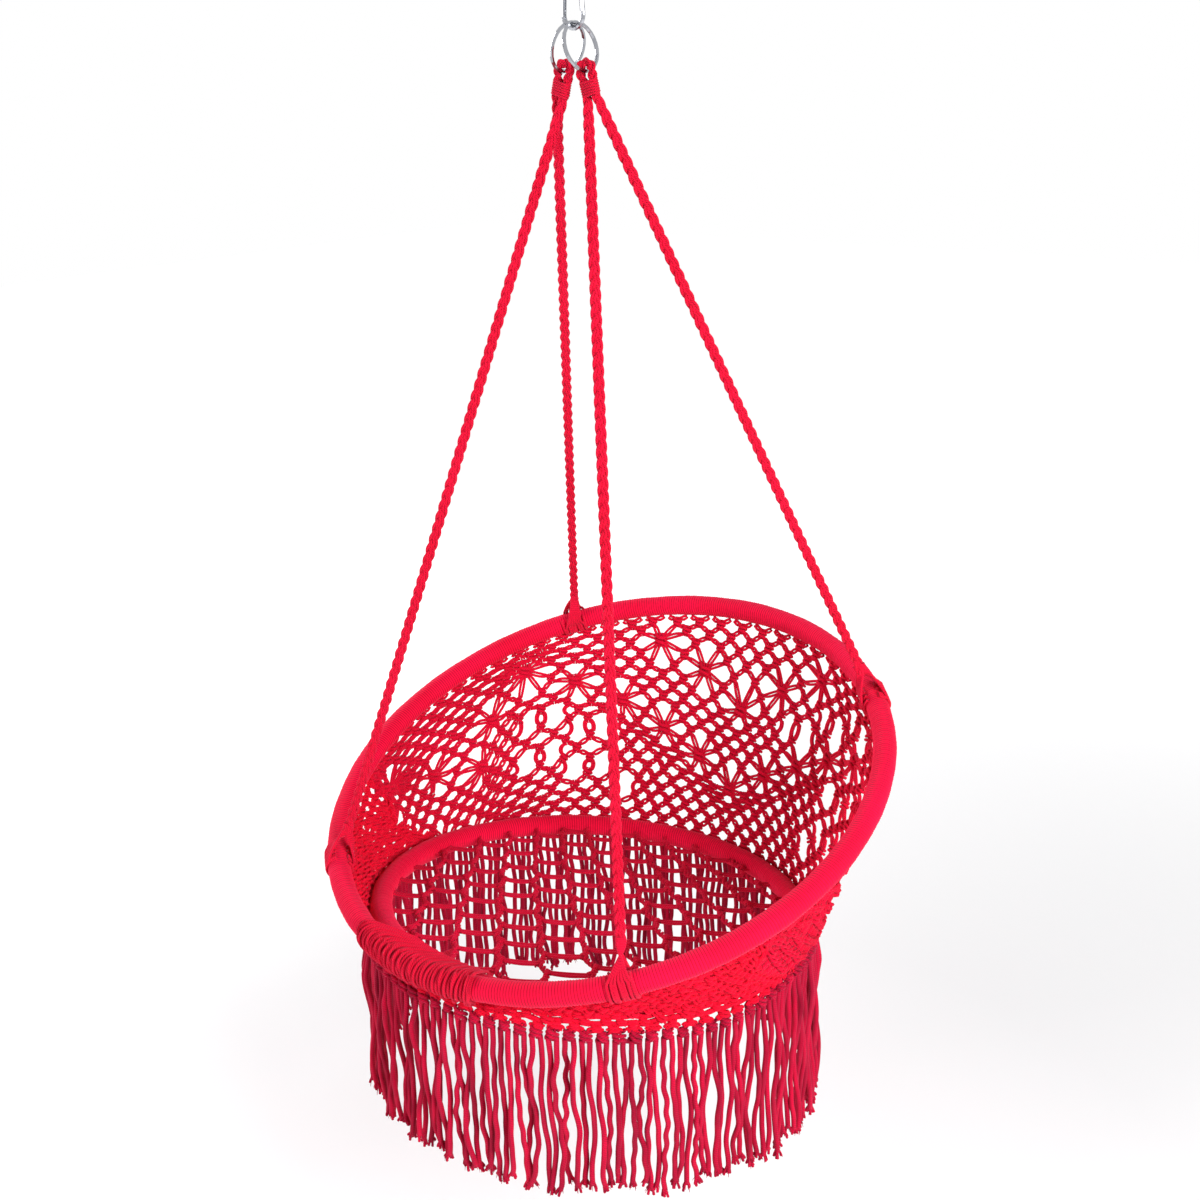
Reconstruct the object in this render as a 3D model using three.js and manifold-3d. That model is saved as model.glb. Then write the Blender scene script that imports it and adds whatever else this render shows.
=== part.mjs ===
// A macrame hammock chair that hangs from one snap hook: a small seat hoop and a larger, tilted back hoop,
// a netted seat, an openwork wall between the hoops and a long fringe below.
// Millimetres, +Z up. The origin is where the snap hook bears on whatever holds the chair up.
// The sitter faces -Y, so +X is the sitter's left. Angles round the hoops are counted from the back, +Y,
// towards +X, so 180 degrees is the front.
import * as THREE from 'three';
import { mergeVertices } from 'three/addons/utils/BufferGeometryUtils.js';
import Module from 'manifold-3d';

const wasm = await Module();
wasm.setup();

// Driving dimensions
const gap = 0.35;
const seatRadius = 300;
const backRadius = 395;
const backRise = 194;
const backSetback = 14;
const backTilt = 27;
const chairPitch = -7;
const hangHeight = 1185;
const chairSetback = -20.6;
const hoopTube = 22;
const tubeBore = 19;
const tubeSides = 6;
const hoopWrapped = 32;
const wrapSides = 10;
const wrapClearance = 0.45;
const hoopSteps = 36;
const seamHalfAngle = 0.12;
const spigotHalfAngle = 6;

// The snap hook and its gate
const hookWire = 6.5;
const hookTopBend = 12;
const hookBottomBend = 15;
const hookBendSpacing = 46;
const gatePivotDrop = 6.5;
const shoulderAbovePivot = 3.4;
const gateTopAbovePivot = 1.8;
const tongueThickness = 2.6;
const forkSlot = 3.4;
const slotDepth = 4.6;
const gatePinWire = 2.4;
const gatePinProud = 0.2;
const pinClearance = 0.15;
const noseRise = 3;
const noseGap = 0.5;
const gateBore = 4;
const gateBoreDepth = 13;
const boreIntoSlot = 1;
const springWire = 0.6;
const springCurls = 5;
const springClearance = 0.4;
const springEndGap = 1;
// Long enough to cut right through the hook's wire.
const cutterSpan = 12;

// The two hanging rings and the ropes. Each ring bears on the bend at ringSeat degrees from its lowest point.
const ringWire = 5;
const ringRadius = 29;
const ringSeat = 18.5;
const ringLean = 15;
const eyeClearance = 1.2;
const eyeLean = 15;
const eyeLength = 30;
const eyeBulge = 0.4;
const ropeWidth = 14;
const ropeWidthAtEye = 12;
const ropeTaperLength = 40;
const legGap = 0.8;
const whippingCord = 3.2;
const whippingTurns = 4;
const whippingPitch = 4.6;
const whippingClearance = 1.3;
const whippingToEnd = 1;
const frontRopeAngle = 139;
const rearRopeAngle = 45;
const ropeSplayLength = 62;
const ropeSplayWidth = 46;
const halfSplayLength = 22;
const halfSplayWidth = 24;
const ropeToLashing = 3.4;

// Lashings
const lashingCord = 4.4;
const lashingTurns = 5;
const lashingPitch = 9;
const lashingClearance = 0.2;
const lashingRoom = 3.6;
const lashingRoomTurns = 0.6;
const frontLashingCord = 4.6;
const frontLashingTurns = 18;
const frontLashingSlack = 1.8;
const frontLashingFrom = -193;
const frontLashingTo = -164;
const frontLashingRoomAngle = 1.5;
const netRoom = 5;
const bandRoom = 9.5;

// The netted seat
const netThickness = 5;
const netCellWidth = 56;
const netCellRun = 52;
const netCellLap = 3.5;
const netCellSlant = 7;
const netCord = 6.5;
const netRim = 5;
const netTurn = 40;

// The openwork wall. Shares are of the wall's height, and of a cell's width or height.
const wallThickness = 6;
const wallClearance = 1.4;
const wallFoot = 4;
const panelSeam = 0.1;
const lowerStarShare = 0.3;
const upperStarShare = 0.64;
const starRise = 0.0098;
const lowerStarBand = 0.16;
const upperStarBand = 0.12;
const gapAtStars = 0.42;
const gapElsewhere = 0.35;

// The skirt passes outside the seat hoop. It is a knotted band, deepest in front, and a fringe cut level.
const skirtThickness = 6;
const skirtRadius = seatRadius + hoopWrapped / 2 + skirtThickness / 2 + 1.5;
const skirtTop = -2;
const frontBandDepth = 26;
const bandFadeFrom = 76;
const bandFadeTo = 112;
const bandEnd = 84;
const bandColumns = 10;
const bandGapWidth = 0.24;
const bandGapHeight = 0.22;
const bandToHeader = 1.8;
const headerDepth = 12;
const fringeDrop = 265;
const fringeSpan = 30;
const strandRadius = 3.8;
const strandSpacing = 3.75;
const strandSway = 4;
const strandRoot = 3;

const cotton = new THREE.Color(0.86, 0.03, 0.12);
const steel = new THREE.Color(0.74, 0.75, 0.76);

const radians = THREE.MathUtils.degToRad;
const vec = (x, y, z) => new THREE.Vector3(x, y, z);
const cottonMaterial = () => new THREE.MeshStandardMaterial({ color: cotton, roughness: 0.9, metalness: 0 });
const steelMaterial = () => new THREE.MeshStandardMaterial({ color: steel, roughness: 0.25, metalness: 1 });

const assembly = new THREE.Group();
const chair = new THREE.Group();
const hookBottomCentre = -(hookTopBend - hookWire / 2) - hookBendSpacing;
chair.position.set(0, chairSetback, hookBottomCentre - hookBottomBend - hangHeight);
chair.rotation.x = radians(chairPitch);
chair.updateMatrixWorld(true);
assembly.add(chair);

function addPart(parent, name, geometry, material) {
  const mesh = new THREE.Mesh(geometry, material);
  mesh.name = name;
  parent.add(mesh);
  return mesh;
}

// Merges equal points, so that a geometry's faces share their corners.
function welded(geometry) {
  const bare = geometry.index ? geometry.toNonIndexed() : geometry.clone();
  bare.deleteAttribute('normal');
  bare.deleteAttribute('uv');
  const merged = mergeVertices(bare, 1e-4);
  merged.computeVertexNormals();
  return merged;
}

function toSolid(geometry) {
  const merged = welded(geometry);
  return new wasm.Manifold(new wasm.Mesh({
    numProp: 3,
    vertProperties: new Float32Array(merged.attributes.position.array),
    triVerts: new Uint32Array(merged.index.array),
  }));
}

function toGeometry(solid) {
  const mesh = solid.getMesh();
  const geometry = new THREE.BufferGeometry();
  geometry.setAttribute('position', new THREE.BufferAttribute(mesh.vertProperties.slice(), 3));
  geometry.setIndex(Array.from(mesh.triVerts));
  geometry.computeVertexNormals();
  return geometry;
}

function meshFrom(points, triangles) {
  const geometry = new THREE.BufferGeometry();
  geometry.setAttribute('position', new THREE.Float32BufferAttribute(points.flatMap((p) => [p.x, p.y, p.z]), 3));
  geometry.setIndex(triangles.flat());
  geometry.computeVertexNormals();
  return geometry;
}

// Joins a row of point rings, each with as many points, into one closed skin with flat ends.
function loft(rings) {
  const sides = rings[0].length;
  const triangles = [];
  for (let i = 0; i + 1 < rings.length; i += 1) {
    for (let k = 0; k < sides; k += 1) {
      const a = i * sides + k;
      const b = i * sides + (k + 1) % sides;
      triangles.push([a, b, b + sides], [a, b + sides, a + sides]);
    }
  }
  const last = (rings.length - 1) * sides;
  for (let k = 1; k + 1 < sides; k += 1) {
    triangles.push([0, k + 1, k], [last, last + k, last + k + 1]);
  }
  return meshFrom(rings.flat(), triangles);
}

// A cord or wire through the points, as one unbroken tube with few sides.
function cordAlong(points, radius, sides) {
  let across = null;
  const rings = points.map((point, i) => {
    const before = points[Math.max(i - 1, 0)];
    const after = points[Math.min(i + 1, points.length - 1)];
    const along = after.clone().sub(before).normalize();
    if (across === null) {
      const other = Math.abs(along.z) < 0.9 ? vec(0, 0, 1) : vec(1, 0, 0);
      across = other.cross(along).normalize();
    }
    across.sub(along.clone().multiplyScalar(across.dot(along))).normalize();
    const up = along.clone().cross(across);
    return Array.from({ length: sides }, (_, k) => {
      const turn = (2 * Math.PI * k) / sides;
      return point.clone()
        .addScaledVector(across, radius * Math.cos(turn))
        .addScaledVector(up, radius * Math.sin(turn));
    });
  });
  return loft(rings);
}

// The least distance between a wound cord's surface and itself, one turn on.
function leastGap(points, stepsPerTurn, cord) {
  let least = Infinity;
  for (let i = 0; i < points.length; i += 1) {
    for (let j = i + Math.floor(stepsPerTurn / 2); j < points.length; j += 1) {
      least = Math.min(least, points[i].distanceTo(points[j]) - cord);
    }
  }
  return least;
}

function winding(name, points, stepsPerTurn, cord, sides) {
  console.log(`${name}: least gap between turns ${leastGap(points, stepsPerTurn, cord).toFixed(2)} mm`);
  return cordAlong(points, cord / 2, sides);
}

function circleShape(radius, sides) {
  const points = Array.from({ length: sides }, (_, k) => {
    const turn = (2 * Math.PI * k) / sides;
    return new THREE.Vector2(radius * Math.cos(turn), radius * Math.sin(turn));
  });
  return new THREE.Shape(points);
}

function tubeShape(outerRadius, outerSides, boreRadius, boreSides) {
  const shape = circleShape(outerRadius, outerSides);
  shape.holes.push(circleShape(boreRadius, boreSides));
  return shape;
}

// A flat path of lines and arcs, stood up in the XZ plane.
class StandingPath extends THREE.Curve {
  constructor(path) {
    super();
    this.path = path;
  }

  getPoint(t, target = new THREE.Vector3()) {
    const p = this.path.getPoint(t);
    return target.set(p.x, 0, p.y);
  }
}

// The hoops' centre lines. Both count their angle from the back towards +X.
const seatHoop = (angle) => vec(
  seatRadius * Math.sin(radians(angle)),
  seatRadius * Math.cos(radians(angle)),
  0,
);
const backHoop = (angle) => vec(
  backRadius * Math.sin(radians(angle)),
  backSetback + backRadius * Math.cos(radians(angle)) * Math.cos(radians(backTilt)),
  backRise + backRadius * Math.cos(radians(angle)) * Math.sin(radians(backTilt)),
);

// A point on a hoop as it is built, with straight steps between its corners.
function hoopPoint(hoop, angle) {
  const step = 360 / hoopSteps;
  const before = Math.floor(angle / step) * step;
  return hoop(before).lerp(hoop(before + step), (angle - before) / step);
}

class HoopArc extends THREE.Curve {
  constructor(hoop, from, to) {
    super();
    this.hoop = hoop;
    this.from = from;
    this.to = to;
  }

  getPoint(t, target = new THREE.Vector3()) {
    return target.copy(this.hoop(this.from + (this.to - this.from) * t));
  }
}

function hoopExtrude(shape, hoop, from, to, steps) {
  return welded(new THREE.ExtrudeGeometry(shape, { steps, extrudePath: new HoopArc(hoop, from, to) }));
}

// Snap hook

function hookPath() {
  const top = -(hookTopBend - hookWire / 2);
  const path = new THREE.Path();
  path.moveTo(hookTopBend, top - gatePivotDrop - slotDepth);
  path.lineTo(hookTopBend, top);
  path.absarc(0, top, hookTopBend, 0, Math.PI, false);
  path.lineTo(-hookBottomBend, hookBottomCentre);
  path.absarc(0, hookBottomCentre, hookBottomBend, Math.PI, 2 * Math.PI, false);
  path.lineTo(hookBottomBend, hookBottomCentre + noseRise);
  return path;
}

const gatePivot = vec(hookTopBend, 0, -(hookTopBend - hookWire / 2) - gatePivotDrop);
const noseTop = vec(hookBottomBend, 0, hookBottomCentre + noseRise);

function boxAt(centre, size) {
  const box = new THREE.BoxGeometry(size.x, size.y, size.z);
  box.translate(centre.x, centre.y, centre.z);
  return toSolid(box);
}

// A round bar across the hook, on the gate's pivot.
function crossPin(radius, length) {
  const pin = new THREE.CylinderGeometry(radius, radius, length, 10);
  pin.translate(gatePivot.x, 0, gatePivot.z);
  return pin;
}

function snapHookBody() {
  const wire = new THREE.ExtrudeGeometry(circleShape(hookWire / 2, 8), {
    steps: 36,
    extrudePath: new StandingPath(hookPath()),
  });
  let body = toSolid(wire);
  // Both cheeks of the wire's end are cut away, which leaves a tongue for the gate's fork.
  for (const side of [-1, 1]) {
    const offset = side * (tongueThickness / 2 + hookWire / 2);
    const centre = vec(hookTopBend, offset, gatePivot.z + shoulderAbovePivot - cutterSpan / 2);
    body = body.subtract(boxAt(centre, vec(cutterSpan, hookWire, cutterSpan)));
  }
  const belowTongue = vec(hookTopBend, 0, gatePivot.z - hookWire / 2 - cutterSpan / 2);
  body = body.subtract(boxAt(belowTongue, vec(cutterSpan, cutterSpan, cutterSpan)));
  return toGeometry(body.subtract(toSolid(crossPin(gatePinWire / 2 + pinClearance, cutterSpan))));
}

// The gate hangs from its pivot and its lower end closes on the hook's nose.
const gateLine = noseTop.clone().sub(gatePivot);
const gateAxis = gateLine.clone().normalize();
const alongGate = (distance) => gatePivot.clone().addScaledVector(gateAxis, distance);

function rodBetween(start, end, radius, sides) {
  return new THREE.ExtrudeGeometry(circleShape(radius, sides), {
    steps: 1,
    extrudePath: new THREE.LineCurve3(start, end),
  });
}

function snapHookGate() {
  const length = gateLine.length();
  let gate = toSolid(rodBetween(alongGate(-gateTopAbovePivot), alongGate(length - noseGap), hookWire / 2, 10));
  const slotCentre = vec(gatePivot.x, 0, gatePivot.z - slotDepth + cutterSpan / 2);
  gate = gate.subtract(boxAt(slotCentre, vec(cutterSpan, forkSlot, cutterSpan)));
  const boreStart = alongGate(slotDepth - boreIntoSlot);
  const bore = rodBetween(boreStart, alongGate(slotDepth + gateBoreDepth), gateBore / 2, 8);
  gate = gate.subtract(toSolid(bore));
  return toGeometry(gate.subtract(toSolid(crossPin(gatePinWire / 2 + pinClearance, cutterSpan))));
}

function gateSpring() {
  const stepsPerTurn = 8;
  const coilRadius = gateBore / 2 - springWire / 2 - springClearance;
  const start = slotDepth + springEndGap;
  const run = gateBoreDepth - 2 * springEndGap;
  const across = vec(0, 1, 0);
  const beside = gateAxis.clone().cross(across);
  const count = springCurls * stepsPerTurn + 1;
  const points = Array.from({ length: count }, (_, i) => {
    const turn = (2 * Math.PI * i) / stepsPerTurn;
    return alongGate(start + (run * i) / (count - 1))
      .addScaledVector(across, coilRadius * Math.cos(turn))
      .addScaledVector(beside, coilRadius * Math.sin(turn));
  });
  return winding('gate_spring', points, stepsPerTurn, springWire, 4);
}

addPart(assembly, 'snap_hook_body', snapHookBody(), steelMaterial());
addPart(assembly, 'snap_hook_gate', snapHookGate(), steelMaterial());
const gatePin = crossPin(gatePinWire / 2 - pinClearance, hookWire + 2 * gatePinProud);
addPart(assembly, 'gate_pin', gatePin, steelMaterial());
addPart(assembly, 'gate_spring', gateSpring(), steelMaterial());

// Hanging rings, side by side on the bend, each leaning the way its ropes pull

const ringTopReach = hookBottomBend - hookWire / 2 - gap - ringWire / 2;
const leanDirection = (side, lean) => vec(side * Math.sin(radians(lean)), 0, -Math.cos(radians(lean)));
const ringTop = (side) => vec(0, 0, hookBottomCentre)
  .addScaledVector(leanDirection(side, ringSeat), ringTopReach);
const ringCentre = (side) => ringTop(side).addScaledVector(leanDirection(side, ringLean), ringRadius);
const ringBottom = (side) => ringTop(side).addScaledVector(leanDirection(side, ringLean), 2 * ringRadius);

const sides = [[1, 'left'], [-1, 'right']];
for (const [side, word] of sides) {
  const torus = new THREE.TorusGeometry(ringRadius, ringWire / 2, 6, 26);
  const ring = addPart(assembly, `ring_${word}`, torus, steelMaterial());
  ring.position.copy(ringCentre(side));
  ring.rotation.set(0, Math.PI / 2 - side * radians(ringLean), 0);
}

// Rope eyes, whippings and the four ropes

const eyeRadius = ringWire / 2 + eyeClearance + ropeWidthAtEye / 2;
const legSpread = (ropeWidthAtEye + legGap) / 2;
const eyePoint = (side, along, across) => ringBottom(side)
  .addScaledVector(leanDirection(side, eyeLean), along)
  .addScaledVector(vec(Math.cos(radians(eyeLean)), 0, side * Math.sin(radians(eyeLean))), across);

function ropeEye(side) {
  const middle = eyeLength / 2;
  const points = [eyePoint(side, eyeLength, -legSpread), eyePoint(side, middle, -legSpread - eyeBulge)];
  const arcSteps = 8;
  for (let i = 0; i <= arcSteps; i += 1) {
    const turn = Math.PI * (i / arcSteps);
    points.push(eyePoint(side, -eyeRadius * Math.sin(turn), -eyeRadius * Math.cos(turn)));
  }
  points.push(eyePoint(side, middle, legSpread + eyeBulge), eyePoint(side, eyeLength, legSpread));
  return cordAlong(points, ropeWidthAtEye / 2, 8);
}

// A belt round two discs: a point at the given share of its way round.
function beltPoint(share, halfSpan, radius) {
  const turn = 2 * Math.PI * share;
  const shift = Math.abs(Math.cos(turn)) < 1e-9 ? 0 : Math.sign(Math.cos(turn)) * halfSpan;
  return new THREE.Vector2(shift + radius * Math.cos(turn), radius * Math.sin(turn));
}

function eyeWhipping(side, name) {
  const stepsPerTurn = 10;
  const ropeCorner = (ropeWidthAtEye / 2) / Math.cos(Math.PI / stepsPerTurn);
  const radius = ropeCorner + whippingCord / 2 + whippingClearance;
  const count = whippingTurns * stepsPerTurn + 1;
  const start = eyeLength - whippingTurns * whippingPitch - whippingToEnd;
  const points = Array.from({ length: count }, (_, i) => {
    const p = beltPoint((i + 0.5) / stepsPerTurn, legSpread + eyeBulge, radius);
    return eyePoint(side, start + (whippingPitch * i) / stepsPerTurn, p.x).add(vec(0, p.y, 0));
  });
  return winding(name, points, stepsPerTurn, whippingCord, 4);
}

const onChair = (point) => chair.localToWorld(point.clone());

// A rope from under its whipping down to the hoop, where it widens along the hoop.
function ropeLeg(side, hoopAngle, across) {
  const start = eyePoint(side, eyeLength + gap, across * legSpread);
  const landing = onChair(hoopPoint(backHoop, hoopAngle));
  const tangent = onChair(backHoop(hoopAngle + 1)).sub(onChair(backHoop(hoopAngle - 1))).normalize();
  const direction = landing.clone().sub(start).normalize();
  const standoff = hoopWrapped / 2 + lashingCord + ropeToLashing;
  const end = landing.clone().addScaledVector(direction, -standoff);
  const wide = tangent.clone().addScaledVector(direction, -tangent.dot(direction)).normalize();
  const deep = direction.clone().cross(wide);
  const length = end.distanceTo(start);
  const plain = length - ropeSplayLength;
  // Each station is a distance from the eye, the rope's width and depth there, and its broad way.
  const stations = [
    [0, ropeWidthAtEye, ropeWidthAtEye, wide],
    [ropeTaperLength, ropeWidth, ropeWidth, wide],
    [plain / 3, ropeWidth, ropeWidth, wide],
    [(2 * plain) / 3, ropeWidth, ropeWidth, wide],
    [plain, ropeWidth, ropeWidth, wide],
    [length - halfSplayLength, halfSplayWidth, ropeWidth, tangent],
    [length, ropeSplayWidth, ropeWidth, tangent],
  ];
  const rings = stations.map(([distance, width, depth, broadWay]) => {
    const centre = start.clone().addScaledVector(direction, distance);
    return Array.from({ length: 8 }, (_, k) => {
      const turn = (2 * Math.PI * k) / 8;
      return centre.clone()
        .addScaledVector(broadWay, (width / 2) * Math.cos(turn))
        .addScaledVector(deep, (depth / 2) * Math.sin(turn));
    });
  });
  // The upper end is cut square to the eye, whose end it meets.
  const eyeAxis = leanDirection(side, eyeLean);
  for (const point of rings[0]) {
    point.addScaledVector(direction, start.clone().sub(point).dot(eyeAxis) / direction.dot(eyeAxis));
  }
  return loft(rings);
}

// Turns of cord round the hoop where a rope is tied.
function ropeLashing(hoopAngle, name) {
  const stepsPerTurn = 8;
  const onHoop = hoopWrapped / 2 + gap + lashingCord / 2;
  const radius = onHoop / Math.cos(Math.PI / stepsPerTurn) + lashingClearance;
  const count = lashingTurns * stepsPerTurn + 1;
  const span = (lashingTurns * lashingPitch) / radians(backRadius);
  const points = Array.from({ length: count }, (_, i) => {
    const angle = hoopAngle + span * (i / (count - 1) - 0.5);
    const centre = hoopPoint(backHoop, angle);
    const tangent = backHoop(hoopAngle + 1).sub(backHoop(hoopAngle - 1)).normalize();
    const out = backHoop(hoopAngle).sub(vec(0, backSetback, backRise)).normalize();
    const up = tangent.clone().cross(out);
    const turn = (2 * Math.PI * i) / stepsPerTurn;
    return centre.addScaledVector(out, radius * Math.cos(turn)).addScaledVector(up, radius * Math.sin(turn));
  });
  return winding(name, points, stepsPerTurn, lashingCord, 4);
}

for (const [side, word] of sides) {
  addPart(assembly, `rope_eye_${word}`, ropeEye(side), cottonMaterial());
  addPart(assembly, `eye_whipping_${word}`, eyeWhipping(side, `eye_whipping_${word}`), cottonMaterial());
  for (const [place, angle, across] of [['front', frontRopeAngle, -1], ['rear', rearRopeAngle, 1]]) {
    addPart(assembly, `rope_${place}_${word}`, ropeLeg(side, side * angle, side * across), cottonMaterial());
    const name = `rope_lashing_${place}_${word}`;
    addPart(chair, name, ropeLashing(side * angle, name), cottonMaterial());
  }
}

// Hoops: a bent steel tube, the spigot that joins its ends, and the cord wound over it

for (const [word, hoop] of [['seat', seatHoop], ['back', backHoop]]) {
  const from = 180 + seamHalfAngle;
  const to = 540 - seamHalfAngle;
  const tube = tubeShape(hoopTube / 2, tubeSides, tubeBore / 2, tubeSides);
  addPart(chair, `${word}_hoop_tube`, hoopExtrude(tube, hoop, from, to, hoopSteps), steelMaterial());
  const wrap = tubeShape(hoopWrapped / 2, wrapSides, hoopTube / 2 + wrapClearance, tubeSides);
  addPart(chair, `${word}_hoop_wrap`, hoopExtrude(wrap, hoop, from, to, hoopSteps), cottonMaterial());
  const spigotLine = [-spigotHalfAngle, 0, spigotHalfAngle].map((turn) => hoopPoint(hoop, 180 + turn));
  const spigotRadius = (tubeBore / 2) * Math.cos(Math.PI / tubeSides) - gap;
  addPart(chair, `${word}_hoop_spigot`, cordAlong(spigotLine, spigotRadius, 8), steelMaterial());
}

// The front lashing binds both hoops side by side, and its turns widen where the hoops part.
function frontLashing() {
  const stepsPerTurn = 10;
  const onHoop = hoopWrapped / 2 + gap + frontLashingCord / 2;
  const radius = onHoop / Math.cos(Math.PI / stepsPerTurn) + frontLashingSlack;
  const count = frontLashingTurns * stepsPerTurn + 1;
  const points = Array.from({ length: count }, (_, i) => {
    const angle = frontLashingFrom + (frontLashingTo - frontLashingFrom) * (i / (count - 1));
    const seat = hoopPoint(seatHoop, angle);
    const back = hoopPoint(backHoop, angle);
    const span = back.clone().sub(seat);
    const toBack = span.clone().normalize();
    const round = vec(Math.cos(radians(angle)), -Math.sin(radians(angle)), 0);
    const up = toBack.clone().cross(round).normalize();
    const p = beltPoint((i + 0.5) / stepsPerTurn, span.length() / 2, radius);
    return seat.add(back).multiplyScalar(0.5).addScaledVector(toBack, p.x).addScaledVector(up, p.y);
  });
  return winding('front_lashing', points, stepsPerTurn, frontLashingCord, 4);
}
addPart(chair, 'front_lashing', frontLashing(), cottonMaterial());

// The space round the seat hoop that the front lashing's turns need, and a little more.
function frontLashingRoom(more) {
  const reach = hoopWrapped / 2 + frontLashingCord + more;
  const from = frontLashingFrom - frontLashingRoomAngle;
  const to = frontLashingTo + frontLashingRoomAngle;
  return hoopExtrude(circleShape(reach, 12), seatHoop, from, to, 6);
}

// The seat net: a brick pattern of six-sided gaps inside the seat hoop

function flatPlate(shape, thickness) {
  const plate = new THREE.ExtrudeGeometry(shape, { depth: thickness, bevelEnabled: false });
  plate.translate(0, 0, -thickness / 2);
  return toSolid(plate);
}

function netGap(centre) {
  const halfWidth = (netCellWidth - netCord) / 2;
  const halfRun = (netCellRun - netCord) / 2;
  const bend = halfWidth - netCellSlant;
  const corners = [
    [-bend, -halfRun], [bend, -halfRun], [halfWidth, 0], [bend, halfRun], [-bend, halfRun], [-halfWidth, 0],
  ];
  return new THREE.Shape(corners.map(([x, y]) => new THREE.Vector2(centre.x + x, centre.y + y)));
}

function seatNet() {
  const rim = seatRadius * Math.cos(Math.PI / hoopSteps) - hoopWrapped / 2 - gap;
  const openRadius = rim - netRim;
  const cutterThickness = 2 * netThickness;
  const plate = flatPlate(circleShape(rim / Math.cos(Math.PI / hoopSteps), hoopSteps), netThickness);
  const inner = flatPlate(circleShape(openRadius, hoopSteps), cutterThickness);
  const rows = Math.ceil(openRadius / netCellRun);
  const columns = Math.ceil(openRadius / netCellWidth) + 1;
  let net = plate;
  let gaps = 0;
  for (let column = -columns; column <= columns; column += 1) {
    for (let row = -rows - 1; row <= rows; row += 1) {
      const offset = column % 2 === 0 ? 0 : 0.5;
      const centre = new THREE.Vector2(column * (netCellWidth - netCellLap), (row + offset) * netCellRun);
      if (centre.length() < openRadius + netCord) {
        net = net.subtract(flatPlate(netGap(centre), cutterThickness).intersect(inner));
        gaps += 1;
      }
    }
  }
  console.log(`seat_net: ${gaps} gaps`);
  const room = frontLashingRoom(netRoom);
  room.rotateZ(-radians(netTurn));
  // The cut leaves a few loose crumbs of the rim, so only the net itself is kept.
  const pieces = net.subtract(toSolid(room)).decompose();
  return toGeometry(pieces.sort((a, b) => b.volume() - a.volume())[0]);
}
const net = addPart(chair, 'seat_net', seatNet(), cottonMaterial());
net.rotation.z = radians(netTurn);

// A curved panel of square cells, each with a four-cornered gap. surface(angle, share) gives a point and
// the way in towards the sitter there, and opening(column, row) gives the gap's half sizes as shares of the cell.
function openworkPanel(surface, from, to, columns, rows, thickness, opening) {
  const points = [];
  const triangles = [];
  const at = (column, row) => surface(from + ((to - from) * column) / columns, row / rows);
  const place = (column, row, face) => {
    const { point, inward } = at(column, row);
    points.push(point.clone().addScaledVector(inward, face * (thickness / 2)));
    return points.length - 1;
  };
  const corner = {};
  for (let column = 0; column <= columns; column += 1) {
    for (let row = 0; row <= rows; row += 1) {
      for (const face of [1, -1]) {
        corner[[column, row, face]] = place(column, row, face);
      }
    }
  }
  const facing = (face, a, b, c) => triangles.push(face === 1 ? [a, b, c] : [a, c, b]);
  for (let column = 0; column < columns; column += 1) {
    for (let row = 0; row < rows; row += 1) {
      const [halfWide, halfHigh] = opening(column + 0.5, row + 0.5);
      const middle = [[0, -halfHigh], [halfWide, 0], [0, halfHigh], [-halfWide, 0]];
      const around = [[0, 0], [1, 0], [1, 1], [0, 1]];
      const edge = {};
      for (const face of [1, -1]) {
        const hole = middle.map(([x, y]) => place(column + 0.5 + x, row + 0.5 + y, face));
        const square = around.map(([x, y]) => corner[[column + x, row + y, face]]);
        edge[face] = hole;
        for (let k = 0; k < 4; k += 1) {
          const next = (k + 1) % 4;
          facing(face, square[k], square[next], hole[k]);
          facing(face, square[next], hole[next], hole[k]);
        }
      }
      for (let k = 0; k < 4; k += 1) {
        const next = (k + 1) % 4;
        facing(1, edge[1][k], edge[1][next], edge[-1][k]);
        facing(1, edge[1][next], edge[-1][next], edge[-1][k]);
      }
    }
  }
  const side = (column, row, nextColumn, nextRow) => {
    const a = corner[[column, row, 1]];
    const b = corner[[nextColumn, nextRow, 1]];
    const c = corner[[nextColumn, nextRow, -1]];
    const d = corner[[column, row, -1]];
    triangles.push([b, a, d], [b, d, c]);
  };
  for (let column = 0; column < columns; column += 1) {
    side(column, 0, column + 1, 0);
    side(column + 1, rows, column, rows);
  }
  for (let row = 0; row < rows; row += 1) {
    side(columns, row, columns, row + 1);
    side(0, row + 1, 0, row);
  }
  return meshFrom(points, triangles);
}

// The line that the wall starts from and the skirt hangs on, just outside the wound seat hoop.
const skirtLine = (angle) => vec(
  skirtRadius * Math.sin(radians(angle)),
  skirtRadius * Math.cos(radians(angle)),
  0,
);

// How far along a slanting line the wall's edge stays from a hoop's centre line.
function edgeSetback(up, tangent) {
  return (hoopWrapped / 2 + wallClearance) / up.clone().cross(tangent).length();
}

// The wall is ruled from outside the seat hoop, share 0, to the back hoop, share 1.
function wallSurface(angle, share) {
  const low = hoopPoint(skirtLine, angle);
  const high = hoopPoint(backHoop, angle);
  const rise = high.clone().sub(low);
  const length = rise.length();
  const up = rise.normalize();
  const round = vec(Math.cos(radians(angle)), -Math.sin(radians(angle)), 0);
  const highEdge = edgeSetback(up, backHoop(angle + 1).sub(backHoop(angle - 1)).normalize());
  return {
    point: low.addScaledVector(up, wallFoot + (length - wallFoot - highEdge) * share),
    inward: round.clone().cross(up).normalize(),
  };
}

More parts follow.
